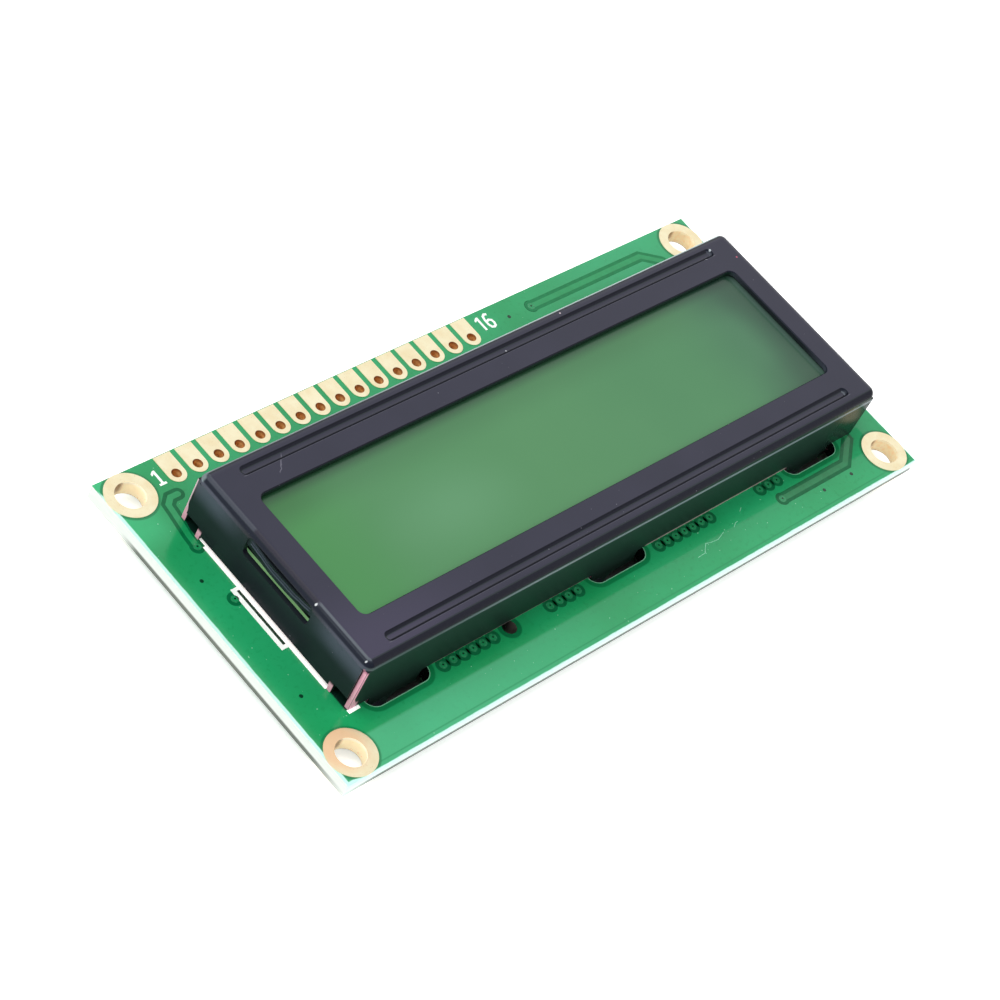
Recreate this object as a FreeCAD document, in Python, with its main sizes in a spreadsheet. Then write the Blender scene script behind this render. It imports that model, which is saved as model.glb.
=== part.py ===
import FreeCAD, Part
import math
import os
import re

import Sketcher

# Character display module with a folded metal bezel on a circuit board.
# Millimetres, +Z up. The origin is under the middle of the board, level with
# the tips of the bezel's twisted tabs, on which the module stands.
# X runs along the board, with pin 1 at the -X end, and +Y is the pin edge.

# Each size once: name, value, meaning. Angles are in degrees.
SIZES = [
    ("board_length", 80.0, "circuit board along X"),
    ("board_width", 36.0, "circuit board along Y"),
    ("board_thickness", 1.6, "laminate with its copper and mask"),
    ("stand_height", 1.4, "board underside above the tab tips"),
    ("mount_inset", 2.5, "fixing hole's centre from both edges"),
    ("mount_hole", 3.0, "fixing hole"),
    ("mount_ring", 5.0, "plated ring round a fixing hole"),
    ("pad_copper", 0.05, "height of a plated pad above the laminate"),
    ("pin_count", 16, "holes in the connection row"),
    ("pin_pitch", 2.54, "connection row pitch"),
    ("pin_first_inset", 7.95, "pin 1 from the board's end"),
    ("pin_row_inset", 2.4, "connection row from the board's edge"),
    ("pin_hole", 1.0, "connection hole"),
    ("pin_pad_width", 1.95, "round-ended pad, across"),
    ("pin_pad_edge_gap", 0.1, "bare laminate between a pad and the board's edge"),
    ("tool_hole", 1.5, "locating hole that the front wall partly covers"),
    ("tool_hole_along", -14.95, "locating hole along X"),
    ("tool_hole_gap", 0.5, "locating hole's middle outside the front wall's face"),
    ("bezel_shift_long", 0.5, "bezel's centre from the board's, along X"),
    ("bezel_shift_wide", -0.25, "bezel's centre from the board's, along Y"),
    ("bezel_length", 71.1, "over the end walls"),
    ("bezel_width", 23.5, "over the long walls"),
    ("bezel_height", 6.5, "top face above the board"),
    ("sheet", 0.5, "bezel sheet thickness"),
    ("bend_outside", 0.9, "outer radius of the folds, and of the cap's corners in plan"),
    ("cap_rim", 1.0, "depth of the folded rim above the flat walls"),
    ("wall_setback", 0.25, "long walls' ends behind the end walls' faces"),
    ("window_end_margin", 3.2, "viewing window from the end walls' faces"),
    ("window_side_margin", 4.45, "viewing window from the long walls' faces"),
    ("window_corner", 0.8, "viewing window's corners"),
    ("window_edge", 0.1, "broken upper edge of the window"),
    ("bead_inset", 1.7, "stiffening groove's middle from the long wall's face"),
    ("bead_end_margin", 3.45, "stiffening groove's end from the end wall's face"),
    ("bead_width", 1.1, "stiffening groove at the top face"),
    ("bead_depth", 0.3, "stiffening groove below the top face"),
    ("skirt_gap", 0.55, "end wall's middle stretch above the board"),
    ("leg_width", 0.45, "end wall's legs that reach the board"),
    ("notch_width", 1.75, "corner notches of the end walls, along Y"),
    ("notch_height", 1.3, "corner notches of the end walls, tall"),
    ("slot_length", 8.9, "end wall's opening along Y"),
    ("slot_height", 2.3, "end wall's opening, tall"),
    ("slot_top", 5.9, "end wall's opening, upper edge above the board"),
    ("slot_corner", 0.45, "end wall's opening, corners"),
    ("lance_inset", 0.12, "lanced strip behind the wall's face"),
    ("lance_thickness", 0.38, "lanced strip along X"),
    ("lance_height", 1.05, "lanced strip, tall"),
    ("lance_bow", 0.5, "middle of the strip below the opening's upper edge"),
    ("lance_root", 0.15, "strip's ends inside the wall"),
    ("tab_count", 3, "bezel tabs along each long wall"),
    ("tab_pitch", 28.95, "bezel tabs, centre to centre"),
    ("tab_width", 6.4, "bezel tab along X"),
    ("tab_tip_width", 5.6, "bezel tab at its tip"),
    ("tab_twist", 28.0, "turn of the tab's tip, degrees"),
    ("tab_slot_end_gap", 0.65, "board slot beyond each end of a tab"),
    ("tab_slot_width", 2.4, "board slot for a tab, across"),
    ("tab_slot_outset", 0.15, "board slot's middle outside the tab's"),
    ("glass_end_gap", 0.95, "panes from the end walls"),
    ("glass_side_gap", 0.25, "upper pane from the long walls"),
    ("glass_thickness", 1.1, "one pane"),
    ("glass_ledge", 2.2, "upper pane beyond the lower one on each long side"),
    ("seal_thickness", 0.05, "liquid crystal layer and its seal"),
    ("seal_width", 1.2, "seal line between the panes"),
    ("film_end_inset", 0.9, "polarisers from the panes' ends"),
    ("film_side_inset", 0.5, "polarisers from the lower pane's sides"),
    ("film_thickness", 0.2, "one polariser"),
    ("cap_play", 0.2, "front polariser below the bezel's inner face"),
    ("strip_gap", 0.15, "rubber strip from the sides of its ledge"),
    ("strip_end_inset", 3.1, "rubber strip from the panes' ends"),
    ("finger_end_inset", 2.6, "row of contact fingers from the strip's ends"),
    ("finger_pitch", 3.6, "contact fingers, centre to centre"),
    ("finger_width", 2.4, "one contact finger along X"),
    ("finger_inset", 0.1, "contact finger from the strip's sides"),
    ("guide_end_gap", 0.3, "light guide from the left end wall"),
    ("guide_base", 0.4, "light guide above the board"),
    ("stack_gap", 0.15, "diffuser film from the rear polariser"),
    ("sheet_film", 0.2, "reflector and diffuser films"),
    ("frame_wall", 0.8, "backlight frame's side walls"),
    ("frame_base", 0.05, "backlight frame above the board"),
    ("frame_slack", 0.1, "backlight frame round the light guide"),
    ("frame_end_wall", 0.9, "backlight frame's end wall"),
    ("frame_end_gap", 0.75, "backlight frame from the right end wall"),
    ("led_count", 3, "side-firing light sources"),
    ("led_pitch", 4.6, "light sources, centre to centre"),
    ("led_width", 3.0, "one light source along Y"),
    ("led_height", 1.2, "one light source, tall"),
    ("led_depth", 1.0, "one light source along X"),
    ("led_gap", 0.05, "light source from the guide's end"),
    ("led_board_thickness", 0.8, "strip board that carries the sources"),
    ("led_board_inset", 0.6, "strip board from the guide's sides"),
    ("lead_side", 0.5, "backlight lead, square"),
    ("lead_spacing", 6.0, "backlight leads, centre to centre"),
    ("lead_hole", 0.6, "board hole for a backlight lead, square"),
    ("joint_diameter", 1.9, "solder joint at the board"),
    ("joint_tip", 0.8, "solder joint at its lower end"),
    ("joint_height", 0.6, "solder joint"),
    ("blob_spacing", 27.0, "encapsulated chips, centre to centre"),
    ("blob_shift", 1.5, "middle of the chips from the board's, along X"),
    ("blob_row", -1.5, "encapsulated chips along Y"),
    ("controller_diameter", 15.0, "controller's epoxy"),
    ("driver_diameter", 13.0, "segment driver's epoxy"),
    ("blob_height", 1.15, "epoxy below the board"),
    ("blob_shoulder", 3.0, "sloping rim of the epoxy"),
    ("chip_length", 2.0, "chip resistor or capacitor along X"),
    ("chip_width", 1.25, "chip resistor or capacitor along Y"),
    ("chip_height", 0.5, "chip resistor"),
    ("capacitor_height", 0.8, "chip capacitor"),
    ("terminal_length", 0.4, "metal end of a chip"),
    ("resistor_count", 6, "chip resistors in their row"),
    ("resistor_pitch", 3.4, "chip resistors, centre to centre"),
    ("resistor_first", 2.0, "first chip resistor along X"),
    ("resistor_inset", 1.8, "chip resistors' middle line inside the bezel's rear wall"),
    ("capacitor_count", 2, "chip capacitors in their row"),
    ("capacitor_pitch", 4.2, "chip capacitors, centre to centre"),
    ("capacitor_first", -22.0, "first chip capacitor along X"),
    ("capacitor_inset", 2.4, "chip capacitors' middle line inside the bezel's rear wall"),
]

# Sizes that follow from the ones above: name, formula, meaning.
DERIVED = [
    ("board_top", "stand_height + board_thickness", "upper face of the laminate"),
    ("pin_first", "pin_first_inset - board_length / 2", "pin 1 along X"),
    ("pin_row", "board_width / 2 - pin_row_inset", "connection row along Y"),
    ("bezel_top", "board_top + bezel_height", "bezel's top face"),
    ("rear_wall", "bezel_shift_wide + bezel_width / 2 - sheet", "rear long wall's inner face"),
    ("front_film_level", "bezel_top - sheet - cap_play - film_thickness", "front polariser"),
    ("front_glass_level", "front_film_level - glass_thickness", "upper pane"),
    ("seal_level", "front_glass_level - seal_thickness", "seal between the panes"),
    ("rear_glass_level", "seal_level - glass_thickness", "lower pane"),
    ("rear_film_level", "rear_glass_level - film_thickness", "rear polariser"),
    ("glass_length", "bezel_length - 2 * (sheet + glass_end_gap)", "panes along X"),
    ("front_glass_width", "bezel_width - 2 * (sheet + glass_side_gap)", "upper pane along Y"),
    ("rear_glass_width", "front_glass_width - 2 * glass_ledge", "lower pane along Y"),
    ("film_length", "glass_length - 2 * film_end_inset", "polarisers along X"),
    ("film_width", "rear_glass_width - 2 * film_side_inset", "polarisers along Y"),
    ("strip_width", "glass_ledge - 2 * strip_gap", "rubber strip across"),
    ("strip_length", "glass_length - 2 * strip_end_inset", "rubber strip along X"),
    ("strip_offset", "(front_glass_width - glass_ledge) / 2", "rubber strip from the middle"),
    ("finger_row", "strip_length - 2 * finger_end_inset", "room for the contact fingers"),
    ("finger_count", "floor(finger_row / finger_pitch) + 1", "contact fingers in a row"),
    ("guide_level", "board_top + guide_base", "light guide's underside"),
    ("diffuser_level", "rear_film_level - stack_gap - sheet_film", "diffuser film"),
    ("guide_thickness", "diffuser_level - guide_level", "light guide"),
    ("guide_width", "rear_glass_width - 2 * (frame_slack + frame_wall)", "light guide along Y"),
    ("guide_left", "bezel_shift_long - bezel_length / 2 + sheet + guide_end_gap", "guide's left end"),
    ("frame_right", "bezel_shift_long + bezel_length / 2 - sheet - frame_end_gap", "frame's right end"),
    ("frame_room", "frame_right - frame_end_wall - frame_slack", "strip board's outer face"),
    ("led_board_left", "frame_room - led_board_thickness", "strip board's inner face"),
    ("led_left", "led_board_left - led_depth", "light sources' front faces"),
    ("guide_length", "led_left - led_gap - guide_left", "light guide along X"),
]

# Radius of a groove's section, from its width and depth.
GROOVE_RADIUS = "((bead_width ^ 2 / 4 + bead_depth ^ 2) / (2 * bead_depth))"

# Tolerance for picking edges by where they lie.
NEAR = 0.001

doc = FreeCAD.newDocument("display_module")
sheet = doc.addObject("Spreadsheet::Sheet", "Size")
nodes = []


def fill_sheet():
    for row, (name, value, meaning) in enumerate(SIZES, start=1):
        sheet.set(f"A{row}", meaning)
        sheet.set(f"B{row}", str(value))
        sheet.setAlias(f"B{row}", name)
    for row, (name, formula, meaning) in enumerate(DERIVED, start=len(SIZES) + 1):
        sheet.set(f"A{row}", meaning)
        sheet.set(f"B{row}", "=" + formula)
        sheet.setAlias(f"B{row}", name)
        doc.recompute()


def size(name):
    return float(sheet.get(name))


def bind(thing, path, formula):
    """Tie a property to the sheet: every word of the formula is a size."""
    thing.setExpression(path, re.sub(r"[a-z_]{3,}", lambda word: "Size." + word.group(0), formula))


def keep(thing, label):
    """Name a finished piece and put it on the list of pieces to write."""
    thing.Label = label
    nodes.append(thing)
    return thing


# Sketches


def new_sketch(body, name, level, role="XY_Plane", x="0", y="0", turn="0"):
    sketch = body.newObject("Sketcher::SketchObject", name)
    plane = next(item for item in body.Origin.OriginFeatures if item.Role == role)
    sketch.AttachmentSupport = [(plane, "")]
    sketch.MapMode = "FlatFace"
    bind(sketch, "AttachmentOffset.Base.x", x)
    bind(sketch, "AttachmentOffset.Base.y", y)
    bind(sketch, "AttachmentOffset.Base.z", level)
    bind(sketch, "AttachmentOffset.Rotation.Angle", turn)
    return sketch


def dimension(sketch, kind, references, start, formula):
    index = sketch.addConstraint(Sketcher.Constraint(kind, *references, start))
    name = f"dimension_{index}"
    sketch.renameConstraint(index, name)
    bind(sketch, f"Constraints.{name}", formula)


def rectangle(sketch, length, width, x="0", y="0"):
    """A rectangle with its middle at (x, y)."""
    first = len(sketch.Geometry)
    corners = [(0, 0), (1, 0), (1, 1), (0, 1)]
    for start, end in zip(corners, corners[1:] + corners[:1]):
        sketch.addGeometry(Part.LineSegment(FreeCAD.Vector(*start, 0), FreeCAD.Vector(*end, 0)))
    for side in range(4):
        following = first + (side + 1) % 4
        sketch.addConstraint(Sketcher.Constraint("Coincident", first + side, 2, following, 1))
        direction = "Horizontal" if side % 2 == 0 else "Vertical"
        sketch.addConstraint(Sketcher.Constraint(direction, first + side))
    dimension(sketch, "DistanceX", (first, 1, first, 2), 1.0, length)
    dimension(sketch, "DistanceY", (first + 1, 1, first + 1, 2), 1.0, width)
    dimension(sketch, "DistanceX", (-1, 1, first, 1), 0.1, f"{x} - ({length}) / 2")
    dimension(sketch, "DistanceY", (-1, 1, first, 1), 0.1, f"{y} - ({width}) / 2")


def circle(sketch, diameter, x="0", y="0"):
    index = sketch.addGeometry(Part.Circle(FreeCAD.Vector(0, 0, 0), FreeCAD.Vector(0, 0, 1), 1.0))
    dimension(sketch, "Diameter", (index,), 2.0, diameter)
    dimension(sketch, "DistanceX", (-1, 1, index, 3), 0.1, x)
    dimension(sketch, "DistanceY", (-1, 1, index, 3), 0.1, y)


def rounded_rectangle(sketch, length, width, corner):
    """A rectangle about the sketch's origin with round corners."""
    sides = [((-9, -5), (9, -5)), ((10, -4), (10, 4)), ((9, 5), (-9, 5)), ((-10, 4), (-10, -4))]
    for start, end in sides:
        sketch.addGeometry(Part.LineSegment(FreeCAD.Vector(*start, 0), FreeCAD.Vector(*end, 0)))
    for quarter, middle in enumerate([(9, -4), (9, 4), (-9, 4), (-9, -4)]):
        ring = Part.Circle(FreeCAD.Vector(*middle, 0), FreeCAD.Vector(0, 0, 1), 1.0)
        start = math.radians(90 * quarter - 90)
        sketch.addGeometry(Part.ArcOfCircle(ring, start, start + math.pi / 2))
    for side in range(4):
        sketch.addConstraint(Sketcher.Constraint("Tangent", side, 2, 4 + side, 1))
        sketch.addConstraint(Sketcher.Constraint("Tangent", 4 + side, 2, (side + 1) % 4, 1))
        direction = "Horizontal" if side % 2 == 0 else "Vertical"
        sketch.addConstraint(Sketcher.Constraint(direction, side))
    for arc in range(5, 8):
        sketch.addConstraint(Sketcher.Constraint("Equal", 4, arc))
    sketch.addConstraint(Sketcher.Constraint("Symmetric", 5, 3, 7, 3, -1, 1))
    dimension(sketch, "Radius", (4,), 1.0, corner)
    dimension(sketch, "DistanceX", (7, 3, 4, 3), 18.0, f"{length} - 2 * {corner}")
    dimension(sketch, "DistanceY", (4, 3, 5, 3), 8.0, f"{width} - 2 * {corner}")


def stadium(sketch, length, width):
    """A slot along X about the sketch's origin with round ends."""
    sketch.addGeometry(Part.LineSegment(FreeCAD.Vector(-3, -1, 0), FreeCAD.Vector(3, -1, 0)))
    sketch.addGeometry(Part.LineSegment(FreeCAD.Vector(3, 1, 0), FreeCAD.Vector(-3, 1, 0)))
    for middle, start in ((3, -math.pi / 2), (-3, math.pi / 2)):
        ring = Part.Circle(FreeCAD.Vector(middle, 0, 0), FreeCAD.Vector(0, 0, 1), 1.0)
        sketch.addGeometry(Part.ArcOfCircle(ring, start, start + math.pi))
    for line, arc, following in ((0, 2, 1), (1, 3, 0)):
        sketch.addConstraint(Sketcher.Constraint("Tangent", line, 2, arc, 1))
        sketch.addConstraint(Sketcher.Constraint("Tangent", arc, 2, following, 1))
    sketch.addConstraint(Sketcher.Constraint("Horizontal", 0))
    sketch.addConstraint(Sketcher.Constraint("Equal", 2, 3))
    sketch.addConstraint(Sketcher.Constraint("Symmetric", 2, 3, 3, 3, -1, 1))
    dimension(sketch, "Radius", (2,), 1.0, f"({width}) / 2")
    dimension(sketch, "DistanceX", (3, 3, 2, 3), 6.0, f"({length}) - ({width})")


# Features


def new_body(label, x="0", y="0"):
    body = doc.addObject("PartDesign::Body", label)
    bind(body, "Placement.Base.x", x)
    bind(body, "Placement.Base.y", y)
    return body


def pad(body, sketch, height):
    feature = body.newObject("PartDesign::Pad", "Pad")
    feature.Profile = sketch
    bind(feature, "Length", height)
    sketch.Visibility = False
    return feature


def pocket(body, sketch, depth):
    """Cut downwards from the sketch, or along its normal's reverse."""
    feature = body.newObject("PartDesign::Pocket", "Pocket")
    feature.Profile = sketch
    bind(feature, "Length", depth)
    return feature


def row(body, features, length, count):
    """Repeat features evenly along the body's X axis."""
    pattern = body.newObject("PartDesign::LinearPattern", "LinearPattern")
    pattern.Originals = features
    axis = next(item for item in body.Origin.OriginFeatures if item.Role == "X_Axis")
    pattern.Direction = (axis, [""])
    bind(pattern, "Length", length)
    bind(pattern, "Occurrences", count)
    body.Tip = pattern
    return pattern


def flat_at(box, level):
    return abs(box.ZMin - level) < NEAR and abs(box.ZMax - level) < NEAR


def dress_edges(body, kind, prop, value, wanted):
    """Fillet or chamfer the edges whose bounding box passes the test."""
    doc.recompute()
    base = body.Tip
    names = [
        f"Edge{number}"
        for number, edge in enumerate(base.Shape.Edges, start=1)
        if wanted(edge.BoundBox)
    ]
    feature = body.newObject("PartDesign::" + kind, kind)
    feature.Base = (base, names)
    bind(feature, prop, value)
    return feature


def plate(label, length, width, height, x, y, level):
    """A flat rectangular piece, its middle at (x, y)."""
    body = new_body(label)
    sketch = new_sketch(body, label + "_outline", level)
    rectangle(sketch, length, width, x, y)
    pad(body, sketch, height)
    return keep(body, label)


def copies(label, seed, places):
    """Separate equal solids: the seed moved to each place, as one node."""
    doc.recompute()
    group = doc.addObject("Part::Feature", label)
    solids = [seed.Shape.translated(FreeCAD.Vector(*place)) for place in places]
    group.Shape = Part.Compound(solids)
    return keep(group, label)


def primitive(kind, name, sizes, base, turn=None):
    """A Part solid with its sizes and base point tied to the sheet."""
    solid = doc.addObject(kind, name)
    if turn:
        solid.Placement = FreeCAD.Placement(FreeCAD.Vector(0, 0, 0), FreeCAD.Rotation(*turn))
    for prop, formula in sizes.items():
        bind(solid, prop, formula)
    for axis, formula in zip("xyz", base):
        bind(solid, f"Placement.Base.{axis}", formula)
    return solid


# Circuit board


def circuit_board():
    """Laminate with its holes, the fixing holes' rings and the connection row's pads."""
    body = new_body("circuit_board")
    outline = new_sketch(body, "board_outline", "stand_height")
    rectangle(outline, "board_length", "board_width")
    pad(body, outline, "board_thickness")

    rings = new_sketch(body, "fixing_rings", "board_top")
    fixings = new_sketch(body, "fixing_holes", "board_top + pad_copper")
    for side in ("-", ""):
        for end in ("-", ""):
            along = f"{end}(board_length / 2 - mount_inset)"
            across = f"{side}(board_width / 2 - mount_inset)"
            circle(rings, "mount_ring", along, across)
            circle(fixings, "mount_hole", along, across)
    pad(body, rings, "pad_copper")
    pocket(body, fixings, "board_thickness + pad_copper")
    leads = new_sketch(body, "lead_holes", "board_top")
    for side in ("-", ""):
        middle = "led_board_left + led_board_thickness / 2"
        across = f"bezel_shift_wide {side or '+'} lead_spacing / 2"
        rectangle(leads, "lead_hole", "lead_hole", middle, across)
    tool_hole = new_sketch(body, "tool_hole", "board_top")
    across = "bezel_shift_wide - bezel_width / 2 - tool_hole_gap"
    circle(tool_hole, "tool_hole", "tool_hole_along", across)
    for holes in (leads, tool_hole):
        pocket(body, holes, "board_thickness")

    disc = new_sketch(body, "pin_pad_end", "board_top")
    circle(disc, "pin_pad_width", "pin_first", "pin_row")
    strip = new_sketch(body, "pin_pad", "board_top")
    reach = "(pin_row_inset - pin_pad_edge_gap)"
    rectangle(strip, "pin_pad_width", reach, "pin_first", f"pin_row + {reach} / 2")
    first_pin = new_sketch(body, "first_pin_hole", "board_top + pad_copper")
    circle(first_pin, "pin_hole", "pin_first", "pin_row")
    pin = [
        pad(body, disc, "pad_copper"),
        pad(body, strip, "pad_copper"),
        pocket(body, first_pin, "board_thickness + pad_copper"),
    ]
    row(body, pin, "(pin_count - 1) * pin_pitch", "pin_count")

    for side in ("-", "+"):
        across = f"bezel_shift_wide {side} (bezel_width / 2 - sheet / 2 + tab_slot_outset)"
        first = "-(tab_count - 1) * tab_pitch / 2"
        slot = new_sketch(body, "tab_slot", "board_top", x=first, y=across)
        stadium(slot, "tab_width + 2 * tab_slot_end_gap", "tab_slot_width")
        cut = pocket(body, slot, "board_thickness")
        row(body, [cut], "(tab_count - 1) * tab_pitch", "tab_count")
    return keep(body, "circuit_board")


def contact_fingers():
    """Two rows of bare pads that the rubber strips stand on."""
    seed = new_body("contact_finger", "bezel_shift_long", "bezel_shift_wide")
    outline = new_sketch(seed, "finger_outline", "board_top")
    rectangle(outline, "finger_width", "strip_width - 2 * finger_inset")
    pad(seed, outline, "pad_copper")
    count = int(size("finger_count"))
    pitch = size("finger_pitch")
    steps = [index - (count - 1) / 2 for index in range(count)]
    offset = size("strip_offset")
    places = [(step * pitch, side * offset, 0) for side in (-1, 1) for step in steps]
    return copies("contact_fingers", seed, places)


# Folded bezel


def bezel_shell():
    """The folded sheet: capped top with bends, four walls, window and cut-outs."""
    body = new_body("bezel_shell", "bezel_shift_long", "bezel_shift_wide")
    cap = new_sketch(body, "cap_outline", "bezel_top - cap_rim")
    rounded_rectangle(cap, "bezel_length", "bezel_width", "bend_outside")
    pad(body, cap, "cap_rim")
    top = size("bezel_top")
    dress_edges(body, "Fillet", "Radius", "bend_outside", lambda box: box.ZMin > top - NEAR)

    hollow = new_sketch(body, "hollow_outline", "bezel_top - sheet")
    rectangle(hollow, "bezel_length - 2 * sheet", "bezel_width - 2 * sheet")
    pocket(body, hollow, "cap_rim - sheet")
    inner = top - size("sheet")
    inner_bend = "bend_outside - sheet"
    dress_edges(body, "Fillet", "Radius", inner_bend, lambda box: flat_at(box, inner))

    wall_height = "(bezel_height - cap_rim)"
    long_walls = new_sketch(body, "long_walls", "board_top")
    end_walls = new_sketch(body, "end_walls", "board_top")
    for side in ("-", ""):
        along = f"{side}(bezel_length / 2 - sheet / 2)"
        across = f"{side}(bezel_width / 2 - sheet / 2)"
        rectangle(long_walls, "bezel_length - 2 * wall_setback", "sheet", "0", across)
        rectangle(end_walls, "sheet", "bezel_width - 2 * sheet", along, "0")
    pad(body, long_walls, wall_height)
    pad(body, end_walls, wall_height)

    skirts = new_sketch(body, "raised_skirts", "board_top + skirt_gap")
    notches = new_sketch(body, "corner_notches", "board_top + notch_height")
    skirt_length = "(bezel_width - 2 * sheet - 2 * notch_width - 2 * leg_width)"
    for end in ("-", ""):
        along = f"{end}(bezel_length / 2 - sheet / 2)"
        rectangle(skirts, "sheet", skirt_length, along, "0")
        for side in ("-", ""):
            across = f"{side}(bezel_width / 2 - sheet - notch_width / 2)"
            rectangle(notches, "sheet", "notch_width", along, across)
    pocket(body, skirts, "skirt_gap")
    pocket(body, notches, "notch_height")

    window = new_sketch(body, "window", "bezel_top")
    window_length = "(bezel_length - 2 * window_end_margin)"
    window_width = "(bezel_width - 2 * window_side_margin)"
    rounded_rectangle(window, window_length, window_width, "window_corner")
    pocket(body, window, "sheet")
    reach = size("bezel_width") / 2 - size("window_side_margin") + NEAR
    dress_edges(
        body,
        "Chamfer",
        "Size",
        "window_edge",
        lambda box: flat_at(box, top) and max(-box.YMin, box.YMax) < reach,
    )

    slot_level = "board_top + slot_top - slot_height / 2"
    slot = new_sketch(body, "end_slots", "bezel_length / 2 + sheet", "YZ_Plane", y=slot_level)
    rounded_rectangle(slot, "slot_length", "slot_height", "slot_corner")
    pocket(body, slot, "bezel_length + 2 * sheet")
    return body


def bead_bar(name, across, radius, length):
    """A bar along a groove's middle line, its lowest line at the groove's bottom."""
    level = f"bezel_top - bead_depth + {GROOVE_RADIUS}"
    base = (f"bezel_shift_long - {length} / 2", across, level)
    bar_sizes = {"Radius": radius, "Height": length}
    return primitive("Part::Cylinder", name, bar_sizes, base, (FreeCAD.Vector(0, 1, 0), 90))


def groove(name, across):
    """A round-ended bar that cuts the groove."""
    straight = "(bezel_length - 2 * bead_end_margin - bead_width)"
    bar = bead_bar(name + "_bar", across, GROOVE_RADIUS, straight)
    level = f"bezel_top - bead_depth + {GROOVE_RADIUS}"
    ends = [
        primitive("Part::Sphere", name + "_end", {"Radius": GROOVE_RADIUS}, (place, across, level))
        for place in (f"bezel_shift_long {side} {straight} / 2" for side in ("-", "+"))
    ]
    whole = doc.addObject("Part::MultiFuse", name)
    whole.Shapes = [bar] + ends
    return whole


def bulge(name, across):
    """The groove's other side, which shows as a bulge under the top sheet."""
    length = "(bezel_length - 2 * bead_end_margin)"
    bar = bead_bar(name + "_bar", across, f"({GROOVE_RADIUS} + sheet)", length)
    slab_sizes = {"Length": "bezel_length", "Width": "bezel_width", "Height": "bead_depth + sheet"}
    slab_base = (
        "bezel_shift_long - bezel_length / 2",
        "bezel_shift_wide - bezel_width / 2",
        "bezel_top - bead_depth - 3 * sheet / 2",
    )
    slab = primitive("Part::Box", name + "_slab", slab_sizes, slab_base)
    belly = doc.addObject("Part::Common", name)
    belly.Base = bar
    belly.Tool = slab
    return belly


def lanced_strips():
    """Strips cut free in the end walls' openings and bowed downwards, joined at their ends."""
    length = "(slot_length + 2 * lance_root)"
    radius = "((slot_length ^ 2 / 4 + lance_bow ^ 2) / (2 * lance_bow))"
    lowest = "board_top + slot_top - lance_bow - lance_height"
    centre = f"board_top + slot_top - lance_bow + {radius}"
    block = {"Length": "lance_thickness", "Width": length, "Height": "lance_height + 2 * lance_bow"}
    along_x = (FreeCAD.Vector(0, 1, 0), 90)
    strips = []
    for end, left in (
        ("left", "bezel_shift_long - bezel_length / 2 + lance_inset"),
        ("right", "bezel_shift_long + bezel_length / 2 - lance_inset - lance_thickness"),
    ):
        corner = (left, f"bezel_shift_wide - {length} / 2", lowest)
        middle = (left, "bezel_shift_wide", centre)
        below = {"Radius": f"{radius} + lance_height", "Height": "lance_thickness"}
        above = {"Radius": radius, "Height": "lance_thickness"}
        bowed = doc.addObject("Part::Common", end + "_bow")
        bowed.Base = primitive("Part::Box", end + "_block", block, corner)
        bowed.Tool = primitive("Part::Cylinder", end + "_lower_edge", below, middle, along_x)
        strip = doc.addObject("Part::Cut", end + "_strip")
        strip.Base = bowed
        strip.Tool = primitive("Part::Cylinder", end + "_upper_edge", above, middle, along_x)
        strips.append(strip)
    return strips


def twisted_tabs():
    """Six tabs through the board's slots, turned under it to lock the bezel."""
    tabs = []
    for index in range(int(size("tab_count"))):
        along = f"({index} - (tab_count - 1) / 2) * tab_pitch"
        for side in ("-", "+"):
            across = f"bezel_shift_wide {side} (bezel_width - sheet) / 2"
            body = new_body("tab", along, across)
            shank = new_sketch(body, "tab_shank", "stand_height")
            rectangle(shank, "tab_width", "sheet")
            pad(body, shank, "board_thickness + sheet")
            root = new_sketch(body, "tab_root", "stand_height")
            rectangle(root, "tab_width", "sheet")
            tip = new_sketch(body, "tab_tip", "0", turn="tab_twist")
            rectangle(tip, "tab_tip_width", "sheet")
            loft = body.newObject("PartDesign::AdditiveLoft", "tab_twist")
            loft.Profile = root
            loft.Sections = [(tip, [""])]
            tabs.append(body)
    return tabs


def bezel():
    shell = bezel_shell()
    middles = [f"bezel_shift_wide {side} (bezel_width / 2 - bead_inset)" for side in ("-", "+")]
    bulges = [bulge(f"bulge_{number}", across) for number, across in enumerate(middles)]
    grooves = [groove(f"groove_{number}", across) for number, across in enumerate(middles)]
    solid = doc.addObject("Part::MultiFuse", "bezel_solid")
    solid.Shapes = [shell] + bulges + lanced_strips() + twisted_tabs()
    both_grooves = doc.addObject("Part::MultiFuse", "grooves")
    both_grooves.Shapes = grooves
    whole = doc.addObject("Part::Cut", "bezel")
    whole.Base = solid
    whole.Tool = both_grooves
    return keep(whole, "bezel")


# Glass cell


def glass_cell():
    middle = ("bezel_shift_long", "bezel_shift_wide")
    front = ("glass_length", "front_glass_width", "glass_thickness")
    rear = ("glass_length", "rear_glass_width", "glass_thickness")
    film = ("film_length", "film_width", "film_thickness")
    plate("front_glass", *front, *middle, "front_glass_level")
    plate("rear_glass", *rear, *middle, "rear_glass_level")
    plate("front_polariser", *film, *middle, "front_film_level")
    plate("rear_polariser", *film, *middle, "rear_film_level")

    seal = new_body("cell_seal")
    ring = new_sketch(seal, "seal_ring", "seal_level")
    for inset in ("0", "seal_width"):
        length = f"glass_length - 2 * {inset}"
        rectangle(ring, length, f"rear_glass_width - 2 * {inset}", *middle)
    pad(seal, ring, "seal_thickness")
    keep(seal, "cell_seal")

    level = "(board_top + pad_copper)"
    strip = ("strip_length", "strip_width", f"front_glass_level - {level}")
    for label, side in (("front_connector_strip", "-"), ("rear_connector_strip", "+")):
        plate(label, *strip, middle[0], f"bezel_shift_wide {side} strip_offset", level)


# Backlight


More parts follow.
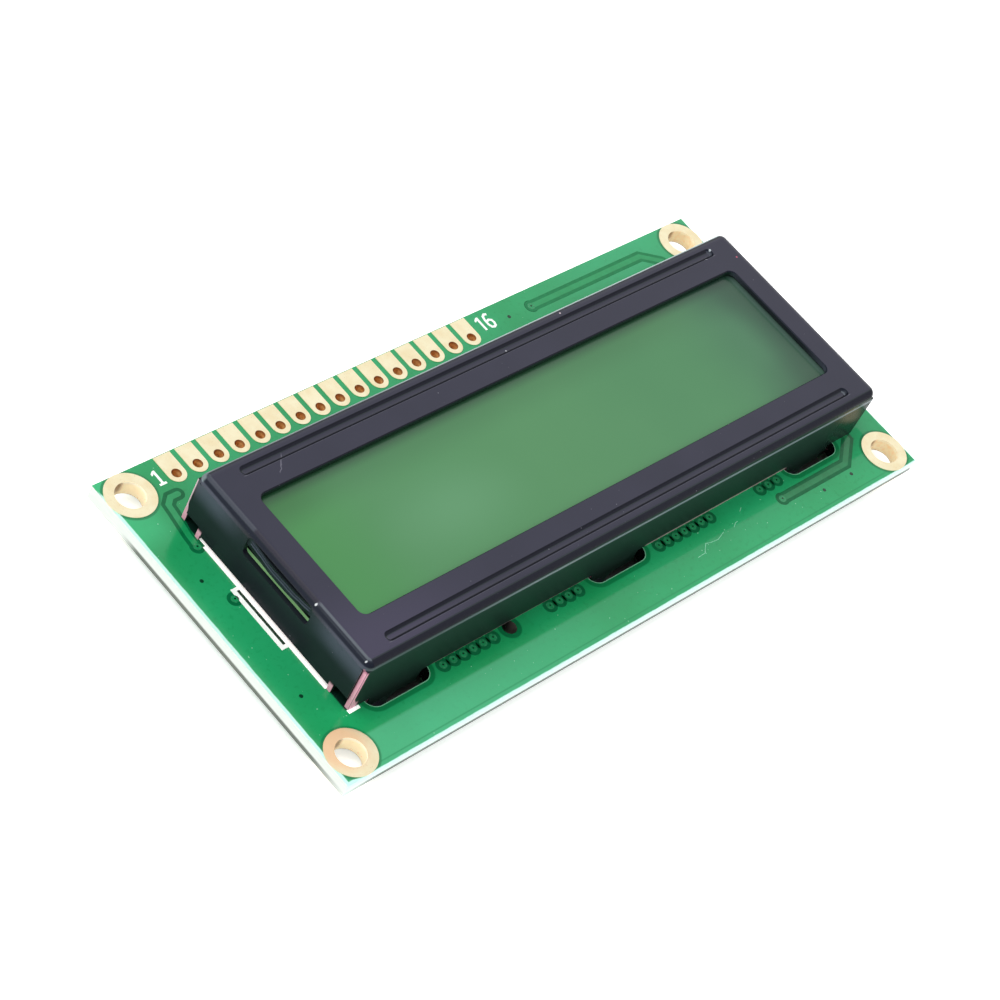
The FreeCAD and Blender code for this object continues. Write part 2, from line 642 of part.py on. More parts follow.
def backlight():
    y = "bezel_shift_wide"
    guide_x = "guide_left + guide_length / 2"
    area = ("guide_length", "guide_width")
    plate("light_guide", *area, "guide_thickness", guide_x, y, "guide_level")
    plate("reflector_film", *area, "sheet_film", guide_x, y, "guide_level - sheet_film")
    plate("diffuser_film", *area, "sheet_film", guide_x, y, "diffuser_level")
    backlight_frame()
    light_sources()


def backlight_frame():
    """Open at the left, where the guide's end shows, with a tie under the guide there."""
    body = new_body("backlight_frame")
    y = "bezel_shift_wide"
    floor = "(board_top + frame_base)"
    height = f"(diffuser_level + sheet_film - {floor})"
    length = "(frame_right - guide_left)"
    inner_length = f"({length} - frame_end_wall)"
    inner_width = "(guide_width + 2 * frame_slack)"
    outline = new_sketch(body, "frame_outline", floor)
    rectangle(outline, length, "rear_glass_width", f"guide_left + {length} / 2", y)
    pad(body, outline, height)
    opening = new_sketch(body, "frame_opening", f"{floor} + {height}")
    rectangle(opening, inner_length, inner_width, f"guide_left + {inner_length} / 2", y)
    pocket(body, opening, height)
    tie = new_sketch(body, "frame_tie", floor)
    rectangle(tie, "frame_end_wall", inner_width, "guide_left + frame_end_wall / 2", y)
    pad(body, tie, f"guide_level - sheet_film - {floor}")
    keep(body, "backlight_frame")


def light_sources():
    """Side-firing sources on a strip board, with two leads down through the main board."""
    y = "bezel_shift_wide"
    board_x = "led_board_left + led_board_thickness / 2"
    board = ("led_board_thickness", "guide_width - 2 * led_board_inset", "guide_thickness")
    plate("led_board", *board, board_x, y, "guide_level")

    led = new_body("side_led")
    face = new_sketch(led, "led_outline", "guide_level + (guide_thickness - led_height) / 2")
    rectangle(face, "led_depth", "led_width", "led_left + led_depth / 2", y)
    pad(led, face, "led_height")
    count = int(size("led_count"))
    steps = [index - (count - 1) / 2 for index in range(count)]
    copies("side_leds", led, [(0, step * size("led_pitch"), 0) for step in steps])

    lead = new_body("lead")
    section = new_sketch(lead, "lead_section", "stand_height")
    rectangle(section, "lead_side", "lead_side", board_x, y)
    pad(lead, section, "board_thickness + guide_base")
    half = size("lead_spacing") / 2
    sides = [(0, -half, 0), (0, half, 0)]
    copies("backlight_leads", lead, sides)
    joint_sizes = {
        "Radius1": "joint_tip / 2",
        "Radius2": "joint_diameter / 2",
        "Height": "joint_height",
    }
    joint = primitive("Part::Cone", "joint", joint_sizes, (board_x, y, "stand_height - joint_height"))
    copies("lead_solder_joints", joint, sides)


# Underside


def chip_blob(label, diameter, end):
    """Poured epoxy over a bare chip: a flat crown with a sloping rim."""
    sizes = {
        "Radius1": f"{diameter} / 2 - blob_shoulder",
        "Radius2": f"{diameter} / 2",
        "Height": "blob_height",
    }
    base = (f"blob_shift {end} blob_spacing / 2", "blob_row", "stand_height - blob_height")
    return keep(primitive("Part::Cone", label, sizes, base), label)


def chips(kind, height):
    """A row of two-ended chip parts under the board: ceramic, then its metal ends."""
    places = [(size(f"{kind}_pitch") * n, 0, 0) for n in range(int(size(f"{kind}_count")))]
    first = f"{kind}_first"
    row_y = f"(rear_wall - {kind}_inset)"
    level = f"stand_height - {height}"
    core = new_body(f"{kind}_core")
    outline = new_sketch(core, f"{kind}_outline", level)
    rectangle(outline, "chip_length - 2 * terminal_length", "chip_width", first, row_y)
    pad(core, outline, height)
    copies(f"chip_{kind}s", core, places)

    ends = []
    for side in ("-", "+"):
        cap = new_body(f"{kind}_end")
        face = new_sketch(cap, f"{kind}_end_outline", level)
        middle = f"{first} {side} (chip_length - terminal_length) / 2"
        rectangle(face, "terminal_length", "chip_width", middle, row_y)
        pad(cap, face, height)
        ends.append(cap)
    pair = doc.addObject("Part::Compound", f"{kind}_ends")
    pair.Links = ends
    copies(f"{kind}_terminals", pair, places)


def check_and_write():
    doc.recompute()
    for thing in doc.Objects:
        faults = [state for state in thing.State if state in ("Invalid", "Error")]
        if faults:
            raise RuntimeError(f"{thing.Label}: {faults}")
    for thing in nodes:
        if thing.Shape.isNull() or not thing.Shape.isValid() or not thing.Shape.Solids:
            raise RuntimeError(f"{thing.Label}: bad shape")
    os.makedirs("parts", exist_ok=True)
    for thing in nodes:
        thing.Shape.exportStep(os.path.join("parts", thing.Label + ".step"))
        print(f"{thing.Label}: {len(thing.Shape.Solids)} solids, {thing.Shape.Volume:.2f} mm3")


fill_sheet()
circuit_board()
contact_fingers()
bezel()
glass_cell()
backlight()
chip_blob("controller_blob", "controller_diameter", "-")
chip_blob("driver_blob", "driver_diameter", "+")
chips("resistor", "chip_height")
chips("capacitor", "capacitor_height")
check_and_write()
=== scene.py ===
import math
import random

import bpy
from mathutils import Euler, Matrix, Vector


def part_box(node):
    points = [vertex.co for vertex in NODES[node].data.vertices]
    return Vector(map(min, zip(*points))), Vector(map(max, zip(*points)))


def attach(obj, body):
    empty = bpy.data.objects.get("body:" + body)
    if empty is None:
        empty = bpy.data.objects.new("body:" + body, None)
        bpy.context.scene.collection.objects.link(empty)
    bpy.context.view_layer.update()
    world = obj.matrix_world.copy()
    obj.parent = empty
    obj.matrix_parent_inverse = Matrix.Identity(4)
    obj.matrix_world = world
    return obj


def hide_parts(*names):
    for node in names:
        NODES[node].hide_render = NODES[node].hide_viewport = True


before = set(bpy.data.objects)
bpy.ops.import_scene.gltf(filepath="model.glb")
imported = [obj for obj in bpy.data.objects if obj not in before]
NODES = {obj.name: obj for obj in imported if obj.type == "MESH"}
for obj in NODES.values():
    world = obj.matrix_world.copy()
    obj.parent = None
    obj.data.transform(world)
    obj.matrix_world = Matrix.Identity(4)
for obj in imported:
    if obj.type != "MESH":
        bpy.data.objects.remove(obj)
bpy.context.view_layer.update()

# Lengths in this script are millimetres, and metres only where Blender takes them.
MM = 0.001
# Plated, printed and masked layers lie this far above what carries them.
LAYER = 0.012


def node_box(name):
    """A node's lowest and highest corners in millimetres."""
    low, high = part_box(name)
    return Vector(low) / MM, Vector(high) / MM


BOARD_LOW, BOARD_HIGH = node_box("circuit_board")
BEZEL_LOW, BEZEL_HIGH = node_box("bezel")
PAD_TOP = BOARD_HIGH.z
BOARD_TOP = node_box("contact_fingers")[0].z
BOARD_BOTTOM = BOARD_LOW.z
BOARD_X = BOARD_HIGH.x
BOARD_Y = BOARD_HIGH.y
# The four plated fixing holes at the corners.
MOUNT_INSET = 2.5
MOUNTS = [(sx * (BOARD_X - MOUNT_INSET), sy * (BOARD_Y - MOUNT_INSET)) for sx in (-1, 1) for sy in (-1, 1)]
MOUNT_RADIUS = 1.5
MOUNT_RING = 2.5
MOUNT_SEGMENTS = 56
# The row of plated connection holes along the far edge.
PIN_COUNT = 16
PIN_PITCH = 2.54
PIN_FIRST = -32.05
PIN_ROW = 15.6
PIN_RADIUS = 0.5
PIN_PAD = 1.95
PIN_PAD_REACH = 2.3
PIN_SEGMENTS = 48
PIN_MIDDLE = PIN_FIRST + PIN_PITCH * (PIN_COUNT - 1) / 2
PINS = [(PIN_FIRST + PIN_PITCH * pin, PIN_ROW) for pin in range(PIN_COUNT)]
# Plating: its thickness in a hole, its rounding at the rim and its level under the board.
WALL = 0.02
ROUNDING = 0.03
PLATED_BACK = BOARD_BOTTOM - 0.04
# The bare locating hole by the bezel's front wall.
TOOL_X = -14.95
TOOL_Y = -12.5
TOOL_RADIUS = 0.75
# The six slots that the bezel's tabs pass through.
SLOT_X = (-28.95, 0.0, 28.95)
SLOT_Y = (-11.9, 11.4)
SLOT_LENGTH = 7.7
SLOT_WIDTH = 2.4
# The bezel: its sheet, the outer faces of its long walls, its grooves and its end slots.
SHEET = 0.5
BEZEL_FRONT = -12.0
BEZEL_REAR = 11.5
GROOVE_INSET = 1.7
GROOVE_END = 3.5
END_SLOT_LOW = (-4.3, 7.7)
END_SLOT_HIGH = (3.8, 8.95)
# Three edges of the window over the front film.
WINDOW_LEFT = -31.85
WINDOW_RIGHT = 32.85
WINDOW_FAR = 7.05
# The gloss of the solder mask and of every mark in it.
MASK_ROUGH = 0.14
MASK_SPREAD = 0.05


# Colours


def srgb(red, green, blue):
    """A colour as it shows on screen, 0 to 255, in the linear values that shaders take."""
    linear = []
    for part in (red, green, blue):
        part /= 255
        linear.append(part / 12.92 if part <= 0.04045 else ((part + 0.055) / 1.055) ** 2.4)
    return (*linear, 1.0)


# Nodes and materials


def add_node(tree, kind, **properties):
    node = tree.nodes.new(kind)
    for key, value in properties.items():
        setattr(node, key, value)
    return node


def feed(tree, socket, value):
    """Links a socket to a field or another socket, or gives it a plain value."""
    if isinstance(value, Field):
        tree.links.new(value.socket, socket)
    elif isinstance(value, bpy.types.NodeSocket):
        tree.links.new(value, socket)
    else:
        socket.default_value = value


def math_node(tree, operation, *values):
    node = add_node(tree, "ShaderNodeMath", operation=operation)
    for socket, value in zip(node.inputs, values):
        feed(tree, socket, value)
    return node.outputs[0]


def mix_node(tree, base, top, amount):
    """The base colour with the top one over it, by an amount from 0 to 1."""
    node = add_node(tree, "ShaderNodeMix", data_type="RGBA")
    feed(tree, node.inputs["Factor"], amount)
    feed(tree, node.inputs[6], base)
    feed(tree, node.inputs[7], top)
    return node.outputs[2]


class Field:
    """A number that varies over a surface, with arithmetic on it."""

    def __init__(self, material, socket):
        self.material = material
        self.socket = socket

    def __add__(self, other):
        return self.material.math("ADD", self, other)

    def __sub__(self, other):
        return self.material.math("SUBTRACT", self, other)

    def __rsub__(self, other):
        return self.material.math("SUBTRACT", other, self)

    def __mul__(self, other):
        return self.material.math("MULTIPLY", self, other)

    def __abs__(self):
        return self.material.math("ABSOLUTE", self)

    def most(self, other):
        return self.material.math("MAXIMUM", self, other)

    def above(self, edge, soft):
        """0 well below the edge and 1 well above it, over a soft band."""
        node = self.material.node("ShaderNodeMapRange", interpolation_type="SMOOTHSTEP")
        self.material.feed(node.inputs["Value"], self)
        self.material.feed(node.inputs["From Min"], edge - soft)
        self.material.feed(node.inputs["From Max"], edge + soft)
        return Field(self.material, node.outputs["Result"])

    def below(self, edge, soft):
        """1 well below the edge and 0 well above it, over a soft band."""
        return 1 - self.above(edge, soft)


class Material:
    """A Principled material and the fields and colours that feed it."""

    def __init__(self, name, **settings):
        self.data = bpy.data.materials.new(name)
        self.data.use_nodes = True
        self.tree = self.data.node_tree
        self.shader = self.tree.nodes["Principled BSDF"]
        for socket, value in settings.items():
            self.shader.inputs[socket.replace("_", " ")].default_value = value
        coordinates = self.node("ShaderNodeTexCoord")
        scaled = self.node("ShaderNodeVectorMath", operation="SCALE")
        self.tree.links.new(coordinates.outputs["Object"], scaled.inputs[0])
        scaled.inputs["Scale"].default_value = 1 / MM
        self.place = scaled.outputs[0]
        self.x, self.y, self.z = self.parts(self.place)

    def node(self, kind, **properties):
        return add_node(self.tree, kind, **properties)

    def feed(self, socket, value):
        feed(self.tree, socket, value)

    def parts(self, vector):
        node = self.node("ShaderNodeSeparateXYZ")
        self.tree.links.new(vector, node.inputs[0])
        return [Field(self, output) for output in node.outputs]

    def math(self, operation, *values):
        return Field(self, math_node(self.tree, operation, *values))

    def length(self, across, along):
        return self.math("SQRT", across * across + along * along)

    def normal_parts(self):
        """The true face's direction, so that it changes sharply at an edge."""
        return self.parts(self.node("ShaderNodeNewGeometry").outputs["True Normal"])

    def smooth_normal_parts(self):
        """The shaded direction, which turns evenly round a fold."""
        return self.parts(self.node("ShaderNodeNewGeometry").outputs["Normal"])

    def noise(self, size, detail=3.0, stretch=(1, 1, 1)):
        """Clouds about the given size in millimetres, from 0 to 1."""
        squeezed = self.node("ShaderNodeVectorMath", operation="MULTIPLY")
        self.tree.links.new(self.place, squeezed.inputs[0])
        squeezed.inputs[1].default_value = stretch
        node = self.node("ShaderNodeTexNoise")
        self.tree.links.new(squeezed.outputs[0], node.inputs["Vector"])
        node.inputs["Scale"].default_value = 1 / size
        node.inputs["Detail"].default_value = detail
        return Field(self, node.outputs["Fac"])

    def distance(self, x, y, flat=(1, 1)):
        """The distance from a point in plan, in units of the given half lengths."""
        return self.length((self.x - x) * (1 / flat[0]), (self.y - y) * (1 / flat[1]))

    def box(self, low, high, soft=0.05, axes="xy"):
        """1 inside a box on the given axes, 0 outside it."""
        inside = None
        for axis, least, most in zip(axes, low, high):
            value = getattr(self, axis)
            part = value.above(least, soft) * value.below(most, soft)
            inside = part if inside is None else inside * part
        return inside

    def mix(self, base, top, amount):
        return mix_node(self.tree, base, top, amount)

    def colour(self, colour):
        self.feed(self.shader.inputs["Base Color"], colour)

    def glow(self, colour, strength):
        self.shader.inputs["Emission Color"].default_value = colour
        self.feed(self.shader.inputs["Emission Strength"], strength)

    def roughness(self, base, spread, field):
        self.feed(self.shader.inputs["Roughness"], field * spread + (base - spread / 2))

    def bump(self, height, depth):
        """Relief of the given depth in millimetres."""
        node = self.node("ShaderNodeBump")
        node.inputs["Distance"].default_value = depth * MM
        self.feed(node.inputs["Height"], height)
        self.tree.links.new(node.outputs[0], self.shader.inputs["Normal"])


def speckled(name, light, dark, size, rough, spread=0.15, relief=0.01, stretch=(1, 1, 1), **settings):
    """A material between two screen colours, whose colour, gloss and relief vary together."""
    material = Material(name, **settings)
    clouds = material.noise(size, stretch=stretch)
    material.colour(material.mix(srgb(*dark), srgb(*light), clouds.above(0.5, 0.25)))
    material.roughness(rough, spread, clouds)
    material.bump(material.noise(size / 3, stretch=stretch), relief)
    return material


def mask_colour(m, clouds, fine, upper):
    """Green mask over copper: paler at the far left and far right, a painted highlight along the near side,
    specks, painted shade under the bezel, and dark gaps round the holes.
    """
    green = m.mix(srgb(24, 142, 82), srgb(34, 156, 98), clouds.above(0.5, 0.2))
    green = m.mix(green, srgb(18, 124, 70), fine.above(0.62, 0.1) * 0.3)
    # Painted highlight: the near side of the mask is paler, most towards the left.
    near_highlight = m.y.below(-14.7, 0.2) * m.x.below(-10, 16)
    green = m.mix(green, srgb(84, 190, 146), near_highlight * upper * 0.34)
    far_left = m.x.below(-36.4, 1.6) * m.y.above(10.2, 1.6)
    green = m.mix(green, srgb(60, 190, 128), far_left * upper * 0.5)
    far_right = m.x.above(18, 8) * m.y.above(14.4, 0.8)
    green = m.mix(green, srgb(70, 170, 126), far_right * 0.3)
    specks = m.noise(0.35, detail=1.0).above(0.81, 0.02)
    green = m.mix(green, srgb(150, 215, 180), specks * 0.6)
    edge_line = abs(abs(m.y) - 17.5).below(0.07, 0.05) * m.y.below(0, 1)
    green = m.mix(green, srgb(14, 128, 78), edge_line * 0.6)
    # Painted shade: the mask turns near black under the bezel.
    under = m.box((BEZEL_LOW.x + 0.05, BEZEL_FRONT + 0.1), (BEZEL_HIGH.x - 0.05, BEZEL_REAR - 0.1), 0.12)
    green = m.mix(green, srgb(12, 16, 24), under * upper * 0.95)
    for x, y in MOUNTS:
        green = m.mix(green, srgb(10, 112, 66), m.distance(x, y).below(MOUNT_RING + 0.26, 0.06) * 0.8)
    round_tool = m.distance(TOOL_X, TOOL_Y).below(TOOL_RADIUS + 0.48, 0.06)
    return m.mix(green, srgb(6, 96, 56), round_tool * 0.85)


def slot_edges(m, top):
    """A dark gap in the copper and a pale lip round each tab slot."""
    for slot_x in SLOT_X:
        for slot_y in SLOT_Y:
            beyond = (abs(m.x - slot_x) - (SLOT_LENGTH - SLOT_WIDTH) / 2).most(0)
            reach = m.length(beyond, m.y - slot_y)
            dark = reach.below(SLOT_WIDTH / 2 + 0.55, 0.08)
            lip = reach.below(SLOT_WIDTH / 2 + 0.08, 0.03)
            top = m.mix(top, srgb(6, 108, 60), dark * 0.8)
            top = m.mix(top, srgb(128, 196, 160), lip * 0.8)
    return top


def laminate_colour(m, edge, bottom_shade, lit_front_side):
    """Pale laminate on the outer sides, with painted shade along their bottom and painted light on the front
    side, and painted shade on the walls inside the slots and holes.
    """
    fibres = m.noise(0.5, stretch=(0.25, 0.25, 3.0))
    side = m.mix(srgb(226, 240, 232), srgb(246, 248, 240), fibres)
    side = m.mix(side, m.mix(srgb(112, 120, 106), srgb(88, 100, 94), m.noise(5.0)), bottom_shade)
    # Painted light: the front side's upper part takes a mint tint.
    side = m.mix(side, srgb(212, 240, 230), lit_front_side * m.z.above(BOARD_BOTTOM + 1.0, 0.4))
    # Painted shade darkens the walls inside the slots and holes; the locating hole's wall is paler where the
    # light comes in.
    entry = m.distance(TOOL_X + 0.4, TOOL_Y - 0.3).below(0.7, 0.3)
    shaded_hole_walls = m.mix(srgb(16, 24, 20), srgb(120, 112, 106), entry)
    return m.mix(side, shaded_hole_walls, edge.below(-0.05, 0.02))


def board_material():
    """Green mask, pale rim, and laminate on the cut sides."""
    m = Material("solder_mask")
    clouds = m.noise(14.0)
    fine = m.noise(0.5, detail=4.0)
    upper = m.z.above(BOARD_BOTTOM + 0.5, 0.2)
    edge = (abs(m.x) - BOARD_X).most(abs(m.y) - BOARD_Y)
    left = m.x.below(-BOARD_X + 1.2, 0.6) * m.y.below(16.6, 1.4)
    rim = (edge + left * 0.24 + m.noise(1.4) * 0.12).above(-0.02, 0.06) * m.y.below(16.9, 0.6)
    top = m.mix(mask_colour(m, clouds, fine, upper), srgb(190, 238, 226), rim * upper)
    ends = m.y.below(12.0, 1.4) * (m.x + m.y).above(-56.0, 3.0)
    # Painted shade: a dark band along the bottom of the outer sides, for the shadow under the board's edge.
    bottom_shade = m.z.below(BOARD_BOTTOM + 0.50, 0.14) * ends * edge.above(-0.02, 0.01)
    lit_front_side = m.y.below(-BOARD_Y + 0.1, 0.05)
    cut = abs(m.normal_parts()[2]).below(0.5, 0.1)
    m.colour(m.mix(slot_edges(m, top), laminate_colour(m, edge, bottom_shade, lit_front_side), cut))
    # The long front side is lit up by the white table in front of it.
    m.glow((0.55, 1.0, 0.92, 1.0), cut * lit_front_side * (1 - bottom_shade) * 0.30)
    # Close to the bezel's front the mask mirrors dark paint and stays deep green.
    close = m.box((BEZEL_LOW.x - 1, -14.62), (BEZEL_HIGH.x + 1, BEZEL_FRONT + 0.2), 0.14)
    m.feed(m.shader.inputs["Specular IOR Level"], 0.5 - close * upper * 0.4)
    m.roughness(MASK_ROUGH, MASK_SPREAD, clouds)
    m.bump(fine, 0.0015)
    return m


def gold_material():
    """Satin gold, with painted shade making it duller and browner round the near left ring."""
    m = Material("gold_plating")
    clouds = m.noise(1.2)
    fine = m.noise(0.12)
    gold = m.mix(srgb(246, 230, 188), srgb(254, 246, 212), clouds.above(0.5, 0.3))
    # Painted shade round the near left ring, which catches less reflected light.
    near_left_shade = m.distance(-37.9, -14.6).below(2.4, 0.9)
    gold = m.mix(gold, srgb(226, 182, 138), near_left_shade * 0.8)
    gold = m.mix(gold, srgb(214, 176, 124), fine.above(0.68, 0.06) * 0.4)
    m.colour(gold)
    m.feed(m.shader.inputs["Metallic"], 1 - near_left_shade * 0.7)
    m.roughness(0.36, 0.14, clouds)
    m.bump(fine, 0.004)
    return m


def barrel_material():
    """Copper brown inside the small plated holes, light gold in the large ones."""
    m = Material("plated_hole_walls")
    clouds = m.noise(0.5)
    depth = m.z.above(PAD_TOP - 0.25, 0.2)
    copper = m.mix(srgb(224, 142, 70), srgb(255, 206, 136), clouds.above(0.5, 0.25))
    small = abs(m.y - PIN_ROW).below(0.7, 0.1) * abs(m.x - PIN_MIDDLE).below(21, 0.1)
    # The far left of each hole's wall has a crescent of shade under the rim.
    facing = m.normal_parts()
    crescent = (facing[0] * 0.55 - facing[1] * 0.83).above(0.72, 0.14) * m.z.above(PAD_TOP - 1.3, 0.5)
    gold = m.mix(srgb(252, 236, 200), srgb(255, 250, 226), depth)
    gold = m.mix(gold, srgb(222, 182, 104), clouds.above(0.5, 0.35) * m.x.above(0, 1) * 0.7)
    gold = m.mix(gold, srgb(150, 112, 76), crescent * 0.85)
    copper = m.mix(copper, srgb(150, 84, 40), crescent.most(depth * 0.8))
    m.colour(m.mix(gold, copper, small))
    m.feed(m.shader.inputs["Metallic"], small * 0.15 + 0.1)
    # Light from the table below fills the large holes.
    m.glow((1.0, 0.82, 0.52, 1.0), (1 - small) * (1 - crescent) * 0.2)
    m.roughness(0.3, 0.2, clouds)
    m.bump(m.noise(0.2), 0.02)
    return m


class BezelPaint(Material):
    """Glossy near-black paint, with bare pink metal at the cut edges."""

    def __init__(self):
        super().__init__("bezel_paint")
        self.left, self.right = BEZEL_LOW.x, BEZEL_HIGH.x
        self.half = (self.right - self.left) / 2
        self.from_middle = abs(self.x - (self.left + self.right) / 2)
        self.clouds = self.noise(6.0)
        self.normal = self.normal_parts()
        # Fields that tell the faces and folds apart.
        self.smooth = self.smooth_normal_parts()
        self.top_face = self.smooth[2].above(0.93, 0.05) * self.z.above(9.0, 0.08)
        self.top_part = self.z.above(8.9, 0.1)
        self.to_front = self.smooth[1].below(-0.24, 0.14)
        self.to_rear = self.smooth[1].above(0.24, 0.14)
        self.to_left = self.smooth[0].below(-0.12, 0.06)
        self.outward = self.smooth[0].below(-0.7, 0.2)
        # Painted shade along the lower part of the left fold.
        self.fold_shade = self.to_left * self.smooth[2].above(0.40, 0.10) * self.smooth[2].below(0.74, 0.05)
        paint = self.flat_faces()
        for layer in (
            self.long_folds, self.left_fold, self.grooves, self.specks, self.end_wall,
            self.bowed_strips, self.rear_fold, self.scratch, self.seam,
        ):
            paint = layer(paint)
        self.colour(self.mix(paint, self.pink(), self.bare()))
        self.gloss()
        self.bump(self.noise(0.16, detail=2.0), 0.0015)

    def flat_faces(self):
        """Violet black above and grey black elsewhere, with painted light at the near left of the top and a
        painted reflection of the green board on the front wall.
        """
        violet = self.mix(srgb(30, 31, 48), srgb(40, 40, 58), self.clouds)
        # Painted light: paler at the near left of the top.
        violet = self.mix(violet, srgb(56, 52, 74), self.x.below(-24, 9) * self.y.below(-6, 4) * 0.8)
        # Painted reflection: the front wall takes the green of the board below it.
        green = self.mix(srgb(26, 48, 41), srgb(32, 55, 47), self.clouds)
        paint = self.mix(srgb(28, 34, 38), srgb(34, 40, 45), self.clouds)
        paint = self.mix(paint, violet, self.top_face)
        return self.mix(paint, green, self.to_front * (1 - self.top_face))

    def long_folds(self, paint):
        """Painted shade on the folds front and rear, and a painted highlight along the front wall's upper
        edge.
        """
        slant = self.smooth[2].above(0.30, 0.12) * (1 - self.top_face)
        paint = self.mix(paint, srgb(32, 33, 42), slant * self.to_front.most(self.to_rear))
        line = abs(self.z + self.x * 0.0075 - 8.42).below(0.17, 0.15)
        line = line * self.to_front * (1 - self.top_face)
        strength = self.x.above(-20, 10) * 0.6 + 0.3
        pale = self.mix(srgb(128, 144, 156), srgb(156, 166, 170), self.clouds)
        return self.mix(paint, pale, line * strength)

    def left_fold(self, paint):
        """Painted shade low on the left fold and a painted highlight above it, dimmer over the end slot,
        with two painted glints.
        """
        paint = self.mix(paint, srgb(34, 38, 48), self.fold_shade)
        fold = self.mix(srgb(62, 66, 76), srgb(74, 76, 88), self.y.below(0, 6))
        fold = self.mix(fold, srgb(44, 43, 54), abs(self.y + 0.15).below(4.35, 0.2))
        near_fold = self.mix(srgb(38, 42, 52), srgb(84, 90, 98), self.smooth[2].above(0.88, 0.04))
        fold = self.mix(fold, near_fold, self.y.below(-4.7, 0.1))
        fold_highlight = self.to_left * self.smooth[2].above(0.78, 0.06) * self.smooth[2].below(0.975, 0.02)
        paint = self.mix(paint, fold, fold_highlight)
        for y, z, radius in ((-4.5, 9.27, 0.09), (-11.27, 9.27, 0.07)):
            glint = self.length(self.y - y, self.z - z).below(radius, 0.05)
            glint = glint * self.x.below(self.left + 0.7, 0.05)
            paint = self.mix(paint, srgb(236, 242, 244), glint * 0.85)
        return paint

    def grooves(self, paint):
        """Painted light and shade along each groove: a line of light on its near rim and a line of shade
        behind it.
        """
        along = self.from_middle.below(self.half - GROOVE_END, 0.2) * self.top_part
        for groove in (BEZEL_FRONT + GROOVE_INSET, BEZEL_REAR - GROOVE_INSET):
            light = abs(self.y - (groove - 0.52)).below(0.05, 0.04)
            dark = abs(self.y - (groove - 0.34)).below(0.08, 0.06)
            paint = self.mix(paint, srgb(84, 84, 96), light * along * 0.7)
            paint = self.mix(paint, srgb(16, 16, 22), dark * along * 0.8)
        return paint

    def specks(self, paint):
        """Fine dust, single grains on the top face, and a painted glint at the far groove's end."""
        dust_field = self.noise(0.3, detail=1.0).above(0.82, 0.02)
        paint = self.mix(paint, srgb(150, 150, 160), dust_field * 0.6)
        # The first spot is a painted glint at the far groove's end; the others are single grains, one of
        # them pink.
        for x, y, radius, tint in (
            (32.54, 10.05, 0.11, (206, 216, 222)),
            (31.24, 9.3, 0.07, (196, 200, 206)),
            (10.73, 10.74, 0.08, (226, 206, 214)),
            (2.26, 9.66, 0.07, (206, 210, 216)),
            (34.7, 8.07, 0.09, (206, 96, 120)),
        ):
            grain_and_glint = self.distance(x, y).below(radius, 0.05) * self.top_part
            paint = self.mix(paint, srgb(*tint), grain_and_glint * 0.85)
        return paint

    def end_wall(self, paint):
        """Light from both sides pales the wall's upper part towards its ends."""
        away = abs(self.y - 0.2).above(6.2, 2.6) * self.z.above(7.1, 1.1) * (1 - self.fold_shade)
        return self.mix(paint, srgb(80, 86, 100), self.outward * away * 0.75)

    def bowed_strips(self, paint):
        """The strips over the end slots: painted strands of light along the bow, and painted shade below and
        above them.
        """
        strips = self.box(END_SLOT_LOW, END_SLOT_HIGH, 0.12, "yz")
        strips = strips * self.from_middle.below(self.half - 0.10, 0.03)
        strips = strips * self.from_middle.above(self.half - 1.3, 0.1) * self.smooth[2].below(0.6, 0.2)
        # Height over the bow's lowest line, wavering a little along it.
        drop = self.y + 0.25
        height = self.z - 7.35 - drop * drop * 0.0253 + (self.noise(1.6) - 0.5) * 0.3
        strand = self.mix(srgb(40, 42, 54), srgb(78, 82, 98), abs(height - 0.46).below(0.07, 0.06))
        strand = self.mix(strand, srgb(66, 68, 84), abs(height - 0.76).below(0.05, 0.06))
        # Painted shade: black below the strands, and above them except at the far end.
        gaps = height.below(0.34, 0.06).most(height.above(0.86, 0.05) * self.y.below(1.5, 1.5))
        strand = self.mix(strand, srgb(14, 16, 18), gaps)
        return self.mix(paint, strand, strips * 0.95)

    def rear_fold(self, paint):
        """The rear fold catches light along its far side."""
        line = self.to_rear * self.smooth[2].above(0.25, 0.05) * self.smooth[2].below(0.78, 0.08)
        line = line * self.y.above(BEZEL_REAR - 0.95, 0.02)
        return self.mix(paint, srgb(184, 204, 204), line * (self.x.above(-10, 30) * 0.6 + 0.3))

    def scratch(self, paint):
        """A light scratch on the top face near pin 1."""
        wander = (self.noise(0.9) - 0.5) * 0.5
        across = abs(self.x * 0.734 - self.y * 0.679 + 26.24 + wander).below(0.04, 0.04)
        along = abs(self.x * 0.679 + self.y * 0.734 + 12.0).below(1.2, 0.2)
        return self.mix(paint, srgb(104, 102, 116), across * along * self.top_face * 0.8)

    def seam(self, paint):
        """A thin bare line where the front wall meets the board, between the tab slots."""
        reach = self.x.above(2, 6) * 0.16 + 0.10
        line = self.y.below(BEZEL_FRONT + 0.02, 0.01) * (reach + BOARD_TOP - self.z).above(0, 0.04)
        line = line * self.x.above(-24.4, 0.3) * self.x.below(25.3, 0.3)
        line = line * (1 - abs(self.x - 0.1).below(4.1, 0.2))
        return self.mix(paint, srgb(206, 188, 184), line * (self.x.above(2, 6) * 0.45 + 0.3))

    def end_faces(self):
        """1 on faces that look along the board, below the fold."""
        return abs(self.normal[0]).above(0.8, 0.05) * self.z.below(8.6, 0.15)

